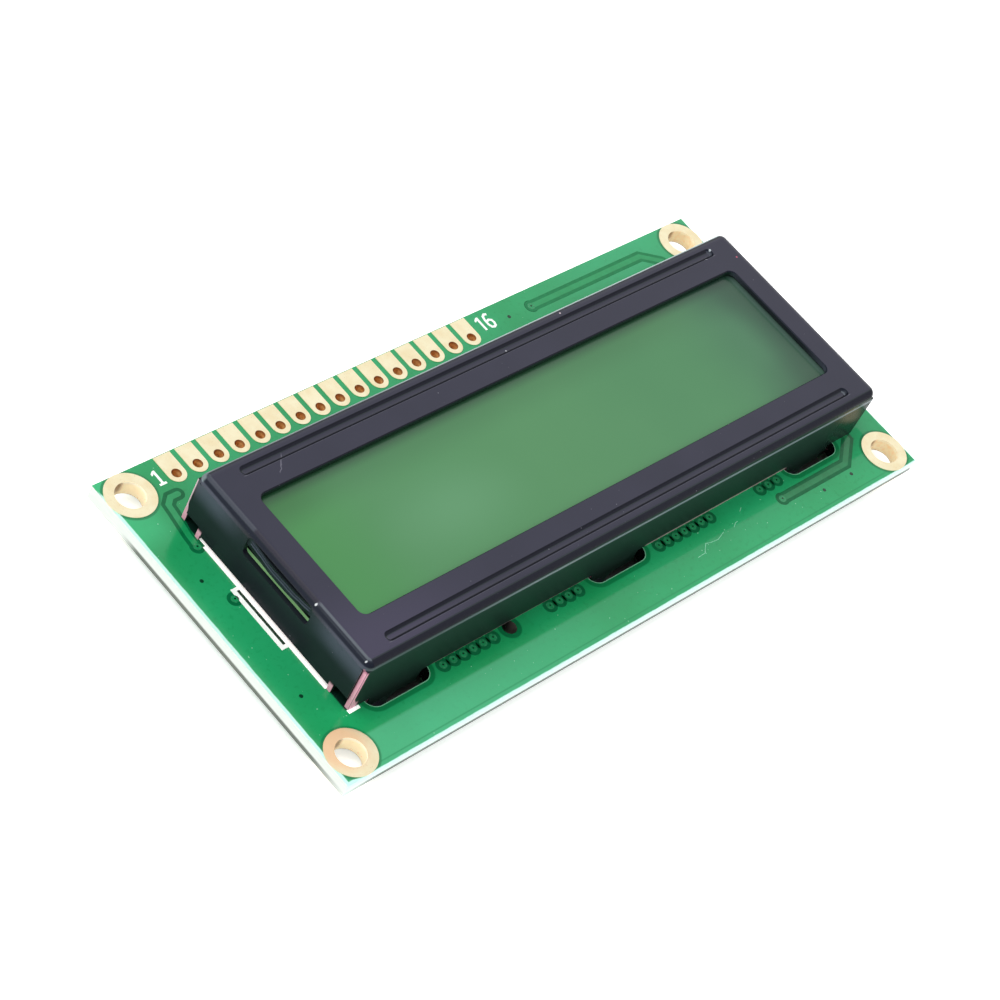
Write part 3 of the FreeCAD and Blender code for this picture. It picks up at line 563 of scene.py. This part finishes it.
    def bare(self):
        """Where the sheet shows: the long walls' ends, feet, lower edges and the near left corner."""
        near_wall = self.y.below(BEZEL_FRONT + SHEET, 0.02) * (self.y - BEZEL_FRONT).above(0.06, 0.04)
        far_reach = self.z.below(4.6, 0.8) * 0.34 + 0.12
        far_wall = (self.y - BEZEL_REAR + far_reach).above(0, 0.03)
        bare = self.end_faces() * near_wall.most(far_wall)
        outer = self.x.below(self.left + 0.03, 0.01).most(self.x.above(self.right - 0.03, 0.01))
        from_corner = (BEZEL_REAR - BEZEL_FRONT) / 2 - abs(self.y - (BEZEL_FRONT + BEZEL_REAR) / 2)
        leg = from_corner.below(2.75, 0.08) * from_corner.above(2.2, 0.05)
        feet = outer * leg * self.z.below(BOARD_TOP + 1.0, 0.2)
        low_edge = self.normal[2].below(-0.8, 0.05) * self.z.below(BOARD_TOP + 1.5, 0.05)
        corner = self.distance(self.left + 0.35, BEZEL_FRONT, (0.75, 1)).below(1.0, 0.25)
        corner = corner * self.z.below(BOARD_TOP + 0.75, 0.25) * self.z.above(BOARD_TOP + 0.02, 0.02)
        corner = corner * self.y.below(BEZEL_FRONT + 0.03, 0.02)
        flare = self.x.below(self.z.below(4.1, 0.5) * 0.40 + (self.left + 0.45), 0.04)
        flare = flare * self.y.below(BEZEL_FRONT + 0.02, 0.01) * self.z.below(8.4, 0.1)
        return bare.most(feet).most(low_edge).most(corner).most(flare)

    def pink(self):
        """Bare metal, with painted shade turning it dark red behind the near wall's edge and just under the
        fold, and greyer on the far wall.
        """
        pink = self.mix(srgb(240, 158, 186), srgb(252, 198, 214), self.noise(0.7))
        # Painted shade on the cut ends, along the near wall's inner edge and just under the fold.
        rim = (self.y - BEZEL_FRONT).above(0.45, 0.05) * self.y.below(BEZEL_FRONT + 0.6, 0.05)
        rim = rim * self.z.above(4.0, 0.4)
        dark = rim.most(self.z.above(8.3, 0.2)) * self.end_faces()
        pink = self.mix(pink, srgb(120, 52, 84), dark * 0.75)
        far = self.y.above(BEZEL_REAR - 0.6, 0.1) * self.z.above(4.6, 0.8)
        return self.mix(pink, srgb(214, 196, 204), far * 0.8)

    def gloss(self):
        """Duller on the long walls, and behind the white print so that it isn't mirrored."""
        walls = self.to_front.most(self.to_rear) * (1 - self.top_face)
        behind_print = self.outward * self.z.below(5.8, 0.7) * abs(self.y + 0.6).below(5.5, 1.2)
        level = self.top_face * 0.22 + 0.20 - walls * 0.13 - self.fold_shade * 0.12 - behind_print * 0.14
        self.feed(self.shader.inputs["Specular IOR Level"], level)
        rough = self.clouds * 0.08 + 0.16 + walls * self.x.below(31, 1.5) * 0.22
        self.feed(self.shader.inputs["Roughness"], rough)


def display_material():
    """Film over the unlit cell: yellow-green, with painted light in a pool left of the middle, and deeper
    where the frame shades the layers below.
    """
    m = Material("display_film", Roughness=0.22, Specular_IOR_Level=0.5)
    clouds = m.noise(20.0)
    # Painted light and shade: a paler pool left of the middle, darker towards the right, the far side and
    # the far corners, and a paler line at the right edge.
    green = m.mix(srgb(68, 124, 78), srgb(62, 119, 76), m.x.above(8, 12))
    green = m.mix(green, srgb(58, 124, 66), m.x.below(-25, 5))
    green = m.mix(green, srgb(80, 134, 92), m.distance(-15, -2, (9, 5)).below(0.6, 0.6) * 0.9)
    green = m.mix(green, srgb(56, 106, 66), m.y.above(4.4, 2.2) * 0.8)
    green = m.mix(green, srgb(42, 98, 48), m.distance(-31, 7, (7, 4)).below(0.7, 0.6) * 0.8)
    green = m.mix(green, srgb(52, 98, 72), m.x.above(25, 7) * 0.9)
    green = m.mix(green, srgb(8, 48, 40), m.x.above(30.2, 2.4))
    green = m.mix(green, srgb(16, 46, 40), m.distance(34, 7.5, (9, 6)).below(0.7, 0.6) * 0.9)
    green = m.mix(green, srgb(26, 56, 45), m.distance(34, -7.5, (9, 5.5)).below(0.7, 0.6) * 0.85)
    green = m.mix(green, srgb(88, 142, 96), clouds.above(0.55, 0.2) * 0.15)
    green = m.mix(green, srgb(76, 98, 90), m.x.above(32.3, 0.2) * 0.8)
    # The window's rim shades the film, most along the far edge.
    shade = (WINDOW_FAR - m.y).below(0.75, 0.85).most((WINDOW_RIGHT - m.x).below(0.1, 0.3) * 0.2)
    shade = shade.most((m.x - WINDOW_LEFT).below(0.2, 0.4) * 0.6)
    green = m.mix(green, srgb(24, 46, 38), shade * 0.75)
    m.colour(green)
    m.bump(clouds, 0.01)
    return m


def ink_material():
    """White print, with painted light that keeps it bright where it runs under the end wall."""
    m = Material("white_ink")
    clouds = m.noise(0.6)
    m.colour(m.mix(srgb(236, 244, 238), srgb(250, 253, 250), clouds.above(0.5, 0.25)))
    # Painted light: the ink glows a little everywhere, and more under the end wall, where it lies in shade.
    glow_under_wall = m.x.above(BEZEL_LOW.x - 0.05, 0.12) * m.y.below(BEZEL_REAR, 0.2)
    m.glow((0.97, 1.0, 0.97, 1.0), glow_under_wall * 0.34 + 0.07)
    m.roughness(0.55, 0.1, clouds)
    m.bump(m.noise(0.2), 0.004)
    return m


def diffuser_material():
    """White film with painted light along its open end, where it glows yellow-green, and painted shade
    behind the panes.
    """
    m = Material("diffuser_film", Roughness=0.5)
    end = node_box("diffuser_film")[0].x
    lit = m.x.below(end + 0.46, 0.04)
    sheen = m.mix(srgb(150, 196, 124), srgb(176, 214, 148), m.noise(1.5))
    inside = m.mix(srgb(176, 190, 168), srgb(196, 206, 188), m.noise(3.0))
    # Painted shade: near black behind the panes, beyond the lit end.
    m.colour(m.mix(m.mix(inside, sheen, lit), srgb(12, 18, 14), (1 - lit) * m.x.below(end + 2.5, 0.5)))
    # The guide beside it pipes daylight to the open end.
    m.glow(srgb(120, 172, 118), lit * 0.5)
    m.bump(m.noise(0.6), 0.004)
    return m


def pane_material():
    """Glass between films: dull green, with painted shade darkening the cut ends."""
    m = Material("pane_edge", Roughness=0.15)
    low, high = node_box("front_glass")
    clouds = m.noise(5.0)
    body = m.mix(srgb(120, 158, 132), srgb(138, 174, 148), clouds)
    end = m.x.below(low.x + 0.02, 0.01).most(m.x.above(high.x - 0.02, 0.01))
    m.colour(m.mix(body, m.mix(srgb(16, 26, 22), srgb(26, 38, 32), clouds), end))
    m.bump(clouds, 0.004)
    return m


# Meshes


class Mesh:
    """Faces collected in millimetres, then made into one object."""

    def __init__(self):
        self.points = []
        self.faces = []
        self.kinds = []

    def add(self, points, faces, kind):
        """Faces that number their own points from 0, with the material of that kind."""
        first = len(self.points)
        self.points += points
        self.faces += [[first + index for index in face] for face in faces]
        self.kinds += [kind] * len(faces)

    def prism(self, outline, low, high, kind=0):
        """A closed plate with a counter-clockwise outline."""
        count = len(outline)
        points = [(x, y, low) for x, y in outline] + [(x, y, high) for x, y in outline]
        faces = [list(range(count))[::-1], list(range(count, 2 * count))]
        faces += [[i, (i + 1) % count, count + (i + 1) % count, count + i] for i in range(count)]
        self.add(points, faces, kind)

    def loops(self, loops, closed=True, kind=0):
        """Quads between loops of equal length, and from the last to the first if closed."""
        count = len(loops[0])
        points = [point for loop in loops for point in loop]
        pairs = len(loops) if closed else len(loops) - 1
        faces = []
        for ring in range(pairs):
            start, following = ring * count, (ring + 1) % len(loops) * count
            for i in range(count):
                j = (i + 1) % count
                faces.append([start + i, start + j, following + j, following + i])
        self.add(points, faces, kind)

    def ring(self, outer, shaded_hole_walls, low, high, kind=0):
        """A closed plate between two outlines of equal length."""
        levels = [(outer, low), (outer, high), (shaded_hole_walls, high), (shaded_hole_walls, low)]
        self.loops([at_height(loop, z) for loop, z in levels], kind=kind)

    def make(self, name, materials, smooth=False):
        data = bpy.data.meshes.new(name)
        data.from_pydata([Vector(point) * MM for point in self.points], [], self.faces)
        for material in materials:
            data.materials.append(material.data)
        data.polygons.foreach_set("material_index", self.kinds)
        data.polygons.foreach_set("use_smooth", [smooth] * len(self.faces))
        data.validate()
        data.update()
        piece = bpy.data.objects.new(name, data)
        bpy.context.scene.collection.objects.link(piece)
        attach(piece, "root")
        return piece


def rectangle(left, near, right, far):
    return [(left, near), (right, near), (right, far), (left, far)]


def full_turn(count):
    return [2 * math.pi * step / count for step in range(count)]


def around(x, y, radius, turns):
    return [(x + radius * math.cos(turn), y + radius * math.sin(turn)) for turn in turns]


def circle(x, y, radius, count):
    return around(x, y, radius, full_turn(count))


def at_height(outline, z):
    return [(x, y, z) for x, y in outline]


def stroke_outline(points, width, round_ends=True):
    """The outline of a line of the given width through the points."""
    half = width / 2
    points = [Vector(point) for point in points]
    sides = [[], []]
    for index, point in enumerate(points):
        before = (point - points[index - 1]).normalized() if index else None
        after = (points[index + 1] - point).normalized() if index + 1 < len(points) else None
        along = (before or after).lerp(after or before, 0.5).normalized()
        across = Vector((-along.y, along.x))
        spread = 1 / max(0.4, across.dot(Vector((-(before or after).y, (before or after).x))))
        sides[0].append(point - across * half * spread)
        sides[1].append(point + across * half * spread)
    outline = [tuple(point) for point in sides[0]]
    if round_ends:
        outline += arc_end(points[-1], points[-1] - points[-2], half)
    outline += [tuple(point) for point in reversed(sides[1])]
    if round_ends:
        outline += arc_end(points[0], points[0] - points[1], half)
    return outline


def arc_end(point, direction, radius):
    """The points between the two sides of a line's round end."""
    steps = 6
    start = math.atan2(direction.y, direction.x) - math.pi / 2
    turns = [start + math.pi * step / steps for step in range(1, steps)]
    return around(point.x, point.y, radius, turns)


# Camera, lights and floor


# The photograph's camera, worked out from the board's rings and holes: its sensor and
# lens, its place, and its turns in degrees.
SENSOR_WIDTH = 36.0
LENS = 109.41
CAMERA_PLACE = (-186.080, -85.826, 204.223)
CAMERA_TURNS = (40.84547, -20.17729, -43.10312)
# What the world gives as light, against 1 as it is seen, and the floor's own light.
WORLD_LIGHT = 0.5
FLOOR_LIFT = 0.55
FLOOR_HALF = 1500.0
# Half the length and width of the painted shade on the floor under the bezel, and its soft edge.
FOOTPRINT = (35.2, 13.4)
FOOTPRINT_SOFT = 0.6


def camera():
    data = bpy.data.cameras.new("camera")
    data.sensor_width = SENSOR_WIDTH
    data.lens = LENS
    view = bpy.data.objects.new("camera", data)
    view.location = Vector(CAMERA_PLACE) * MM
    view.rotation_euler = Euler([math.radians(turn) for turn in CAMERA_TURNS])
    bpy.context.scene.collection.objects.link(view)
    bpy.context.scene.camera = view


def area_light(name, place, size, power):
    """A soft square lamp that faces the object and makes no bright patch in the paint."""
    data = bpy.data.lights.new(name, "AREA")
    data.shape = "SQUARE"
    data.size = size
    data.energy = power
    lamp = bpy.data.objects.new(name, data)
    lamp.location = place
    lamp.visible_glossy = False
    lamp.rotation_euler = Vector(place).to_track_quat("Z", "Y").to_euler()
    bpy.context.scene.collection.objects.link(lamp)


def surroundings():
    """White all round to the camera and in reflections, and a plain level of light."""
    world = bpy.data.worlds.new("studio")
    bpy.context.scene.world = world
    world.use_nodes = True
    tree = world.node_tree
    background = tree.nodes["Background"]
    rays = add_node(tree, "ShaderNodeLightPath").outputs
    passed = math_node(tree, "MAXIMUM", rays["Is Glossy Ray"], rays["Is Transmission Ray"])
    seen = math_node(tree, "MAXIMUM", rays["Is Camera Ray"], passed)
    strength = add_node(tree, "ShaderNodeMapRange")
    feed(tree, strength.inputs["Value"], seen)
    feed(tree, strength.inputs["To Min"], WORLD_LIGHT)
    feed(tree, strength.inputs["To Max"], 1.0)
    feed(tree, background.inputs["Strength"], strength.outputs[0])
    feed(tree, background.inputs["Color"], (1, 1, 1, 1))


def outside_footprint(tree):
    """0 on the floor under the bezel, which the board's slots show in deep shade, and 1 outside."""
    halves = add_node(tree, "ShaderNodeVectorMath", operation="ABSOLUTE")
    feed(tree, halves.inputs[0], add_node(tree, "ShaderNodeTexCoord").outputs["Object"])
    parts = add_node(tree, "ShaderNodeSeparateXYZ")
    feed(tree, parts.inputs[0], halves.outputs[0])
    ramps = []
    for output, reach in zip(parts.outputs, FOOTPRINT):
        ramp = add_node(tree, "ShaderNodeMapRange")
        feed(tree, ramp.inputs["Value"], output)
        feed(tree, ramp.inputs["From Min"], (reach - FOOTPRINT_SOFT) * MM)
        feed(tree, ramp.inputs["From Max"], (reach + FOOTPRINT_SOFT) * MM)
        ramps.append(ramp.outputs[0])
    return math_node(tree, "MAXIMUM", *ramps)


def floor():
    """A white table that keeps the object's shadow."""
    plate = bpy.data.meshes.new("floor")
    corners = at_height(rectangle(-FLOOR_HALF, -FLOOR_HALF, FLOOR_HALF, FLOOR_HALF), 0)
    plate.from_pydata([Vector(corner) * MM for corner in corners], [], [[0, 1, 2, 3]])
    material = bpy.data.materials.new("floor")
    material.use_nodes = True
    tree = material.node_tree
    shader = tree.nodes["Principled BSDF"]
    shader.inputs["Roughness"].default_value = 0.9
    shader.inputs["Specular IOR Level"].default_value = 0.1
    shader.inputs["Emission Color"].default_value = (1, 1, 1, 1)
    noise = add_node(tree, "ShaderNodeTexNoise")
    feed(tree, noise.inputs["Scale"], 8.0)
    white = mix_node(tree, (0.90, 0.90, 0.90, 1), (0.93, 0.93, 0.93, 1), noise.outputs["Fac"])
    outside = outside_footprint(tree)
    # Painted shade: the floor is dark under the bezel.
    feed(tree, shader.inputs["Base Color"], mix_node(tree, (0.10, 0.10, 0.10, 1), white, outside))
    # Seen by the camera it is lifted to the photograph's pure white.
    camera_ray = add_node(tree, "ShaderNodeLightPath").outputs["Is Camera Ray"]
    lift = math_node(tree, "MULTIPLY", math_node(tree, "MULTIPLY", camera_ray, outside), FLOOR_LIFT)
    feed(tree, shader.inputs["Emission Strength"], lift)
    plate.materials.append(material)
    piece = bpy.data.objects.new("floor", plate)
    bpy.context.scene.collection.objects.link(piece)


camera()
surroundings()
floor()
area_light("key", (-0.35, 0.25, 0.75), 0.7, 6.6)
area_light("fill", (0.5, -0.45, 0.6), 0.6, 2.2)

bpy.context.scene.view_settings.view_transform = "Standard"

board = board_material()
gold = gold_material()
barrel = barrel_material()
paint = BezelPaint()
display = display_material()
white_ink = ink_material()
MASK_GLOSS = {"rough": MASK_ROUGH, "spread": MASK_SPREAD, "relief": 0.001}
mask_dark = speckled("mask_dark", (8, 104, 62), (5, 94, 54), 0.6, **MASK_GLOSS, Specular_IOR_Level=0.25)
mask_soft = speckled("mask_soft", (16, 122, 72), (12, 114, 66), 0.6, **MASK_GLOSS, Specular_IOR_Level=0.3)
# A darker copy of the mask for the track by the bezel's front: painted, as the mask there mirrors the dark
# paint.
mask_deeper = speckled("mask_near_bezel", (22, 128, 76), (16, 118, 68), 0.9, **MASK_GLOSS)
mask_deep = speckled("mask_deep", (4, 60, 38), (2, 50, 30), 0.6, **MASK_GLOSS)
mask_light = speckled("mask_light", (52, 146, 98), (20, 118, 72), 0.25, **MASK_GLOSS)
mask_plain = speckled("mask_over_track", (28, 146, 88), (22, 138, 80), 1.2, **MASK_GLOSS)
dust = speckled("dust", (150, 214, 182), (110, 190, 150), 0.3, rough=0.6)
pane = pane_material()
diffuser = diffuser_material()
guide = speckled("guide_acrylic", (150, 196, 60), (126, 176, 52), 4.0, rough=0.15)
film = speckled("white_film", (206, 212, 196), (190, 200, 184), 3.0, rough=0.5)
rubber = speckled("connector_rubber", (190, 150, 150), (170, 130, 132), 0.18, rough=0.7, stretch=(6, 1, 1))
seal = speckled("seal_resin", (150, 152, 138), (132, 134, 120), 1.0, rough=0.5)
moulded = speckled("frame_plastic", (40, 40, 42), (28, 28, 30), 1.0, rough=0.55)
lamp_body = speckled("led_body", (236, 232, 200), (220, 214, 178), 0.8, rough=0.35)
tin = speckled("tinned_wire", (214, 214, 210), (180, 180, 176), 0.3, rough=0.3, Metallic=1.0)
solder = speckled("solder", (222, 222, 220), (186, 187, 186), 0.5, rough=0.24, Metallic=1.0)
epoxy = speckled("epoxy", (30, 30, 32), (20, 20, 22), 2.5, rough=0.2, relief=0.03)
resistor = speckled("resistor_coat", (36, 36, 40), (24, 24, 27), 0.6, rough=0.4)
capacitor = speckled("capacitor_body", (176, 140, 102), (156, 120, 84), 0.5, rough=0.5)
cap_metal = speckled("chip_metal", (216, 216, 212), (184, 184, 180), 0.4, rough=0.3, Metallic=1.0)

NODE_MATERIALS = {
    "circuit_board": board,
    "contact_fingers": gold,
    "bezel": paint,
    "front_glass": pane,
    "rear_glass": pane,
    "front_polariser": display,
    "rear_polariser": film,
    "cell_seal": seal,
    "front_connector_strip": rubber,
    "rear_connector_strip": rubber,
    "light_guide": guide,
    "reflector_film": film,
    "diffuser_film": diffuser,
    "backlight_frame": moulded,
    "led_board": board,
    "side_leds": lamp_body,
    "backlight_leads": tin,
    "lead_solder_joints": solder,
    "controller_blob": epoxy,
    "driver_blob": epoxy,
    "chip_resistors": resistor,
    "resistor_terminals": cap_metal,
    "chip_capacitors": capacitor,
    "capacitor_terminals": cap_metal,
}
for node_name, material in NODE_MATERIALS.items():
    for surface in NODES[node_name].material_slots:
        surface.material = material.data


# Plated holes and pads


def pad_outline(x, y, grow, turns):
    """Round towards the bezel and straight out to the board's edge, at the given turns."""
    half, reach = PIN_PAD / 2 + grow, PIN_PAD_REACH + grow
    outline = []
    for turn in turns:
        across, along = math.cos(turn), math.sin(turn)
        if along <= 0:
            length = half
        else:
            length = min(half / abs(across) if across else reach, reach / along)
        outline.append((x + length * across, y + length * along))
    return outline


def plated_pads():
    """The sixteen pads, their rings under the board and the walls of their holes."""
    corner = math.atan2(PIN_PAD_REACH + LAYER, PIN_PAD / 2 + LAYER)
    turns = sorted(full_turn(PIN_SEGMENTS) + [corner, math.pi - corner])
    plates = Mesh()
    walls = Mesh()
    for x, y in PINS:
        outer = pad_outline(x, y, LAYER, turns)
        hole = around(x, y, PIN_RADIUS - WALL, turns)
        rim = around(x, y, PIN_RADIUS, turns)
        back = around(x, y, PIN_PAD / 2, turns)
        plates.loops([
            at_height(outer, BOARD_TOP),
            at_height(outer, PAD_TOP + LAYER),
            at_height(rim, PAD_TOP + LAYER),
        ], False)
        plates.loops([
            at_height(rim, PLATED_BACK),
            at_height(back, PLATED_BACK),
            at_height(back, BOARD_BOTTOM),
        ], False)
        walls.loops([
            at_height(rim, PAD_TOP + LAYER),
            at_height(hole, PAD_TOP - ROUNDING),
            at_height(hole, BOARD_BOTTOM + ROUNDING),
            at_height(rim, PLATED_BACK),
        ], False)
    plates.make("connection_pads", [gold])
    walls.make("connection_hole_walls", [barrel], smooth=True)


def mount_rings():
    """Each corner's gold ring, and its hole's wall with the ring under the board."""
    rings = Mesh()
    walls = Mesh()
    for x, y in MOUNTS:
        radii = [
            (MOUNT_RING + LAYER, BOARD_TOP),
            (MOUNT_RING + LAYER, PAD_TOP + LAYER / 2),
            (MOUNT_RING - 0.05, PAD_TOP + LAYER),
            (MOUNT_RADIUS, PAD_TOP + LAYER),
        ]
        rings.loops([at_height(circle(x, y, radius, MOUNT_SEGMENTS), z) for radius, z in radii], False)
        radii = [
            (MOUNT_RADIUS, PAD_TOP + LAYER),
            (MOUNT_RADIUS - WALL, PAD_TOP - ROUNDING),
            (MOUNT_RADIUS - WALL, BOARD_BOTTOM + 0.06),
            (MOUNT_RADIUS + 0.08, PLATED_BACK),
            (MOUNT_RING, PLATED_BACK),
            (MOUNT_RING, BOARD_BOTTOM),
        ]
        walls.loops([at_height(circle(x, y, radius, MOUNT_SEGMENTS), z) for radius, z in radii], False)
    rings.make("fixing_rings", [gold])
    walls.make("fixing_hole_walls", [barrel], smooth=True)


plated_pads()
mount_rings()


# Print, tracks and tented holes on the board

VIA_ROW = -12.6
# Three of the tented holes end a track.
LEFT_VIA = (-35.6, 8.2)
FRONT_VIA = (22.13, -14.6)
FAR_VIA = (15.0, 16.0)


def white_print():
    """The bar along the end wall with its narrow box, and a dash by the near leg."""
    ink = Mesh()
    low, high = BOARD_TOP, BOARD_TOP + LAYER
    box_outer = rectangle(-35.97, -4.24, -34.80, 3.06)
    box_inner = rectangle(-35.50, -3.84, -35.20, 2.70)
    bar = rectangle(-35.20, -9.27, -34.50, 7.9)
    thin_end = rectangle(-34.92, 7.9, -34.52, 8.9)
    step = circle(-34.42, 8.0, 0.22, 16)
    dash = [(-34.92, -12.36), (-33.58, -12.34), (-33.56, -11.95), (-34.92, -11.95)]
    ink.ring(box_outer, box_inner, low, high)
    ink.prism(bar, low, high + LAYER / 4)
    for outline in (thin_end, step, dash):
        ink.prism(outline, low, high)
    ink.make("white_print", [white_ink])
    gap = Mesh()
    gap.prism(rectangle(-35.52, -3.86, -35.18, 2.72), low, high - LAYER / 2)
    gap.make("print_gap", [mask_deep])


def pin_numbers():
    """The row's end numbers, 1 and 16, in plain strokes."""
    ink = Mesh()
    low, high = BOARD_TOP, BOARD_TOP + LAYER
    flag = [(0.14, 0.86), (-0.10, 0.86), (-0.42, 0.62), (-0.42, 0.36), (-0.12, 0.54)]
    footed = [(-0.12, -0.62), (-0.40, -0.62), (-0.40, -0.86), (0.40, -0.86), (0.40, -0.62), (0.14, -0.62)]
    footless = [(-0.12, -0.86), (0.14, -0.86)]
    six = [
        (0.34, 0.74), (0.05, 0.85), (-0.24, 0.66), (-0.36, 0.2), (-0.36, -0.4), (-0.22, -0.76),
        (0.06, -0.86), (0.3, -0.74), (0.4, -0.4), (0.34, -0.06), (0.06, 0.1), (-0.22, 0.02),
    ]
    stroke = 0.26
    for x, y, outline in ((-33.9, 15.95, flag + footed), (8.3, 16.5, flag + footless)):
        ink.prism([(x + px, y + py) for px, py in outline], low, high)
    ink.prism(stroke_outline([(9.35 + px, 16.5 + py) for px, py in six], stroke, False), low, high)
    ink.make("pin_numbers", [white_ink])


def evenly(first, step, count):
    return [first + step * index for index in range(count)]


def vias():
    """Holes under the mask: a dark gap in the copper, a lighter ring and the hole."""
    marks = Mesh()
    dark, light, deep, plain = range(4)
    gap, ring, hole = 0.76, 0.40, 0.24
    row = evenly(-23.6, 1.28, 6) + evenly(-9.6, 1.26, 4) + evenly(5.6, 1.24, 7) + [20.7, 22.0, 23.3]
    places = [(x, VIA_ROW) for x in row] + [LEFT_VIA, (-36.2, 2.1), FRONT_VIA, FAR_VIA]
    pits = [(-37.67, 5.04), (-37.6, -8.8), (11.77, 15.96), (27.28, -15.95), (31.72, -15.86)]
    level = BOARD_TOP
    for x, y in places:
        marks.prism(circle(x, y, gap, 28), level, level + LAYER / 3, dark)
    for x, y in places:
        marks.ring(circle(x, y, ring, 24), circle(x, y, hole, 24), level, level + LAYER, light)
        marks.prism(circle(x, y, hole, 20), level, level + LAYER * 0.8, plain)
        marks.prism(circle(x + 0.04, y + 0.03, 0.11, 12), level, level + LAYER, deep)
    for x, y in pits:
        marks.prism(circle(x, y, 0.20, 14), level, level + LAYER, deep)
    marks.make("tented_holes", [mask_dark, mask_light, mask_deep, mask_plain])


def tracks():
    """Each track shows between the two dark gaps that part it from the copper round it."""
    lines = Mesh()
    dark, plain, soft, deeper = range(4)
    gap_width, copper_width = 1.34, 0.58
    routes = [
        ([FRONT_VIA, (32.1, -14.6), (34.9, -12.4), (34.9, -11.6)], dark, deeper),
        ([FAR_VIA, (31.4, 16.0), (33.4, 14.4)], soft, plain),
        ([(-33.4, 13.7), (-34.3, 13.7), (-35.0, 13.1), (-35.12, 12.1), (-35.5, 9.6), LEFT_VIA], dark, plain),
    ]
    level = BOARD_TOP
    for route, gap, copper in routes:
        for width, height, kind in ((gap_width, LAYER / 2, gap), (copper_width, LAYER * 0.65, copper)):
            # Beside the end wall the track stops at the wall's face.
            outline = [
                (min(x, BEZEL_LOW.x - 0.02) if x < 0 and y < BEZEL_REAR else x, y)
                for x, y in stroke_outline(route, width)
            ]
            lines.prism(outline, level, level + height, kind)
    lines.make("masked_tracks", [mask_dark, mask_plain, mask_soft, mask_deeper])


def dust_and_scratches():
    """A jagged scratch, two short ones and pale specks on the mask."""
    marks = Mesh()
    source = random.Random(7)
    low, high = BOARD_TOP, BOARD_TOP + LAYER / 2
    jagged = [
        (8.3, -15.6), (9.4, -15.55), (9.75, -15.2), (10.3, -14.75),
        (10.9, -14.9), (11.9, -15.0), (13.1, -14.62),
    ]
    short = [(14.6, -14.7), (15.1, -14.4), (15.5, -14.35)]
    shortest = [(16.6, -13.6), (17.1, -13.3)]
    scratch_width = 0.06
    for line in (jagged, short, shortest):
        marks.prism(stroke_outline(line, scratch_width, False), low, high)
    # Specks along the front and along the left end: how many, and the corners of their patch.
    for count, corner, opposite in ((22, (-24, -17.0), (34, -13.5)), (5, (-39, -12.0), (-36.3, 12.0))):
        for _ in range(count):
            x = source.uniform(corner[0], opposite[0])
            y = source.uniform(corner[1], opposite[1])
            marks.prism(circle(x, y, source.uniform(0.03, 0.06), 7), low, high)
    marks.make("dust_specks", [dust])


white_print()
pin_numbers()
vias()
tracks()
dust_and_scratches()


# Underside


def dome(name, node):
    """Poured epoxy: a low smooth dome with a slightly uneven rim."""
    low, high = node_box(node)
    x, y = (low.x + high.x) / 2, (low.y + high.y) / 2
    radius, height = (high.x - low.x) / 2, high.z - low.z
    source = random.Random(node)
    wobble = [source.uniform(-0.5, 0.5) for _ in range(2)]
    depth = height * 0.995
    turns = full_turn(72)
    uneven = [
        1 - 0.025 * abs(math.sin(2 * turn + wobble[0]) + 0.6 * math.sin(3 * turn + 4 * wobble[1]))
        for turn in turns
    ]
    cap = Mesh()
    rings = []
    steps = 18
    for step in range(steps):
        # The last ring stops just short of the middle, where the fan closes it.
        rise = math.pi / 2 * step / (steps - 1) * 0.98
        swell = radius * math.cos(rise) ** 0.8
        level = high.z - depth * math.sin(rise)
        rings.append([
            (x + swell * u * math.cos(turn), y + swell * u * math.sin(turn), level)
            for turn, u in zip(turns, uneven)
        ])
    cap.loops(rings, False)
    count = len(turns)
    last = len(cap.points) - count
    cap.points.append((x, y, high.z - depth))
    for index in range(count):
        cap.faces.append([last + index, last + (index + 1) % count, last + count])
        cap.kinds.append(0)
    piece = cap.make(name, [epoxy], smooth=True)
    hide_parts(node)


dome("controller_dome", "controller_blob")
dome("driver_dome", "driver_blob")
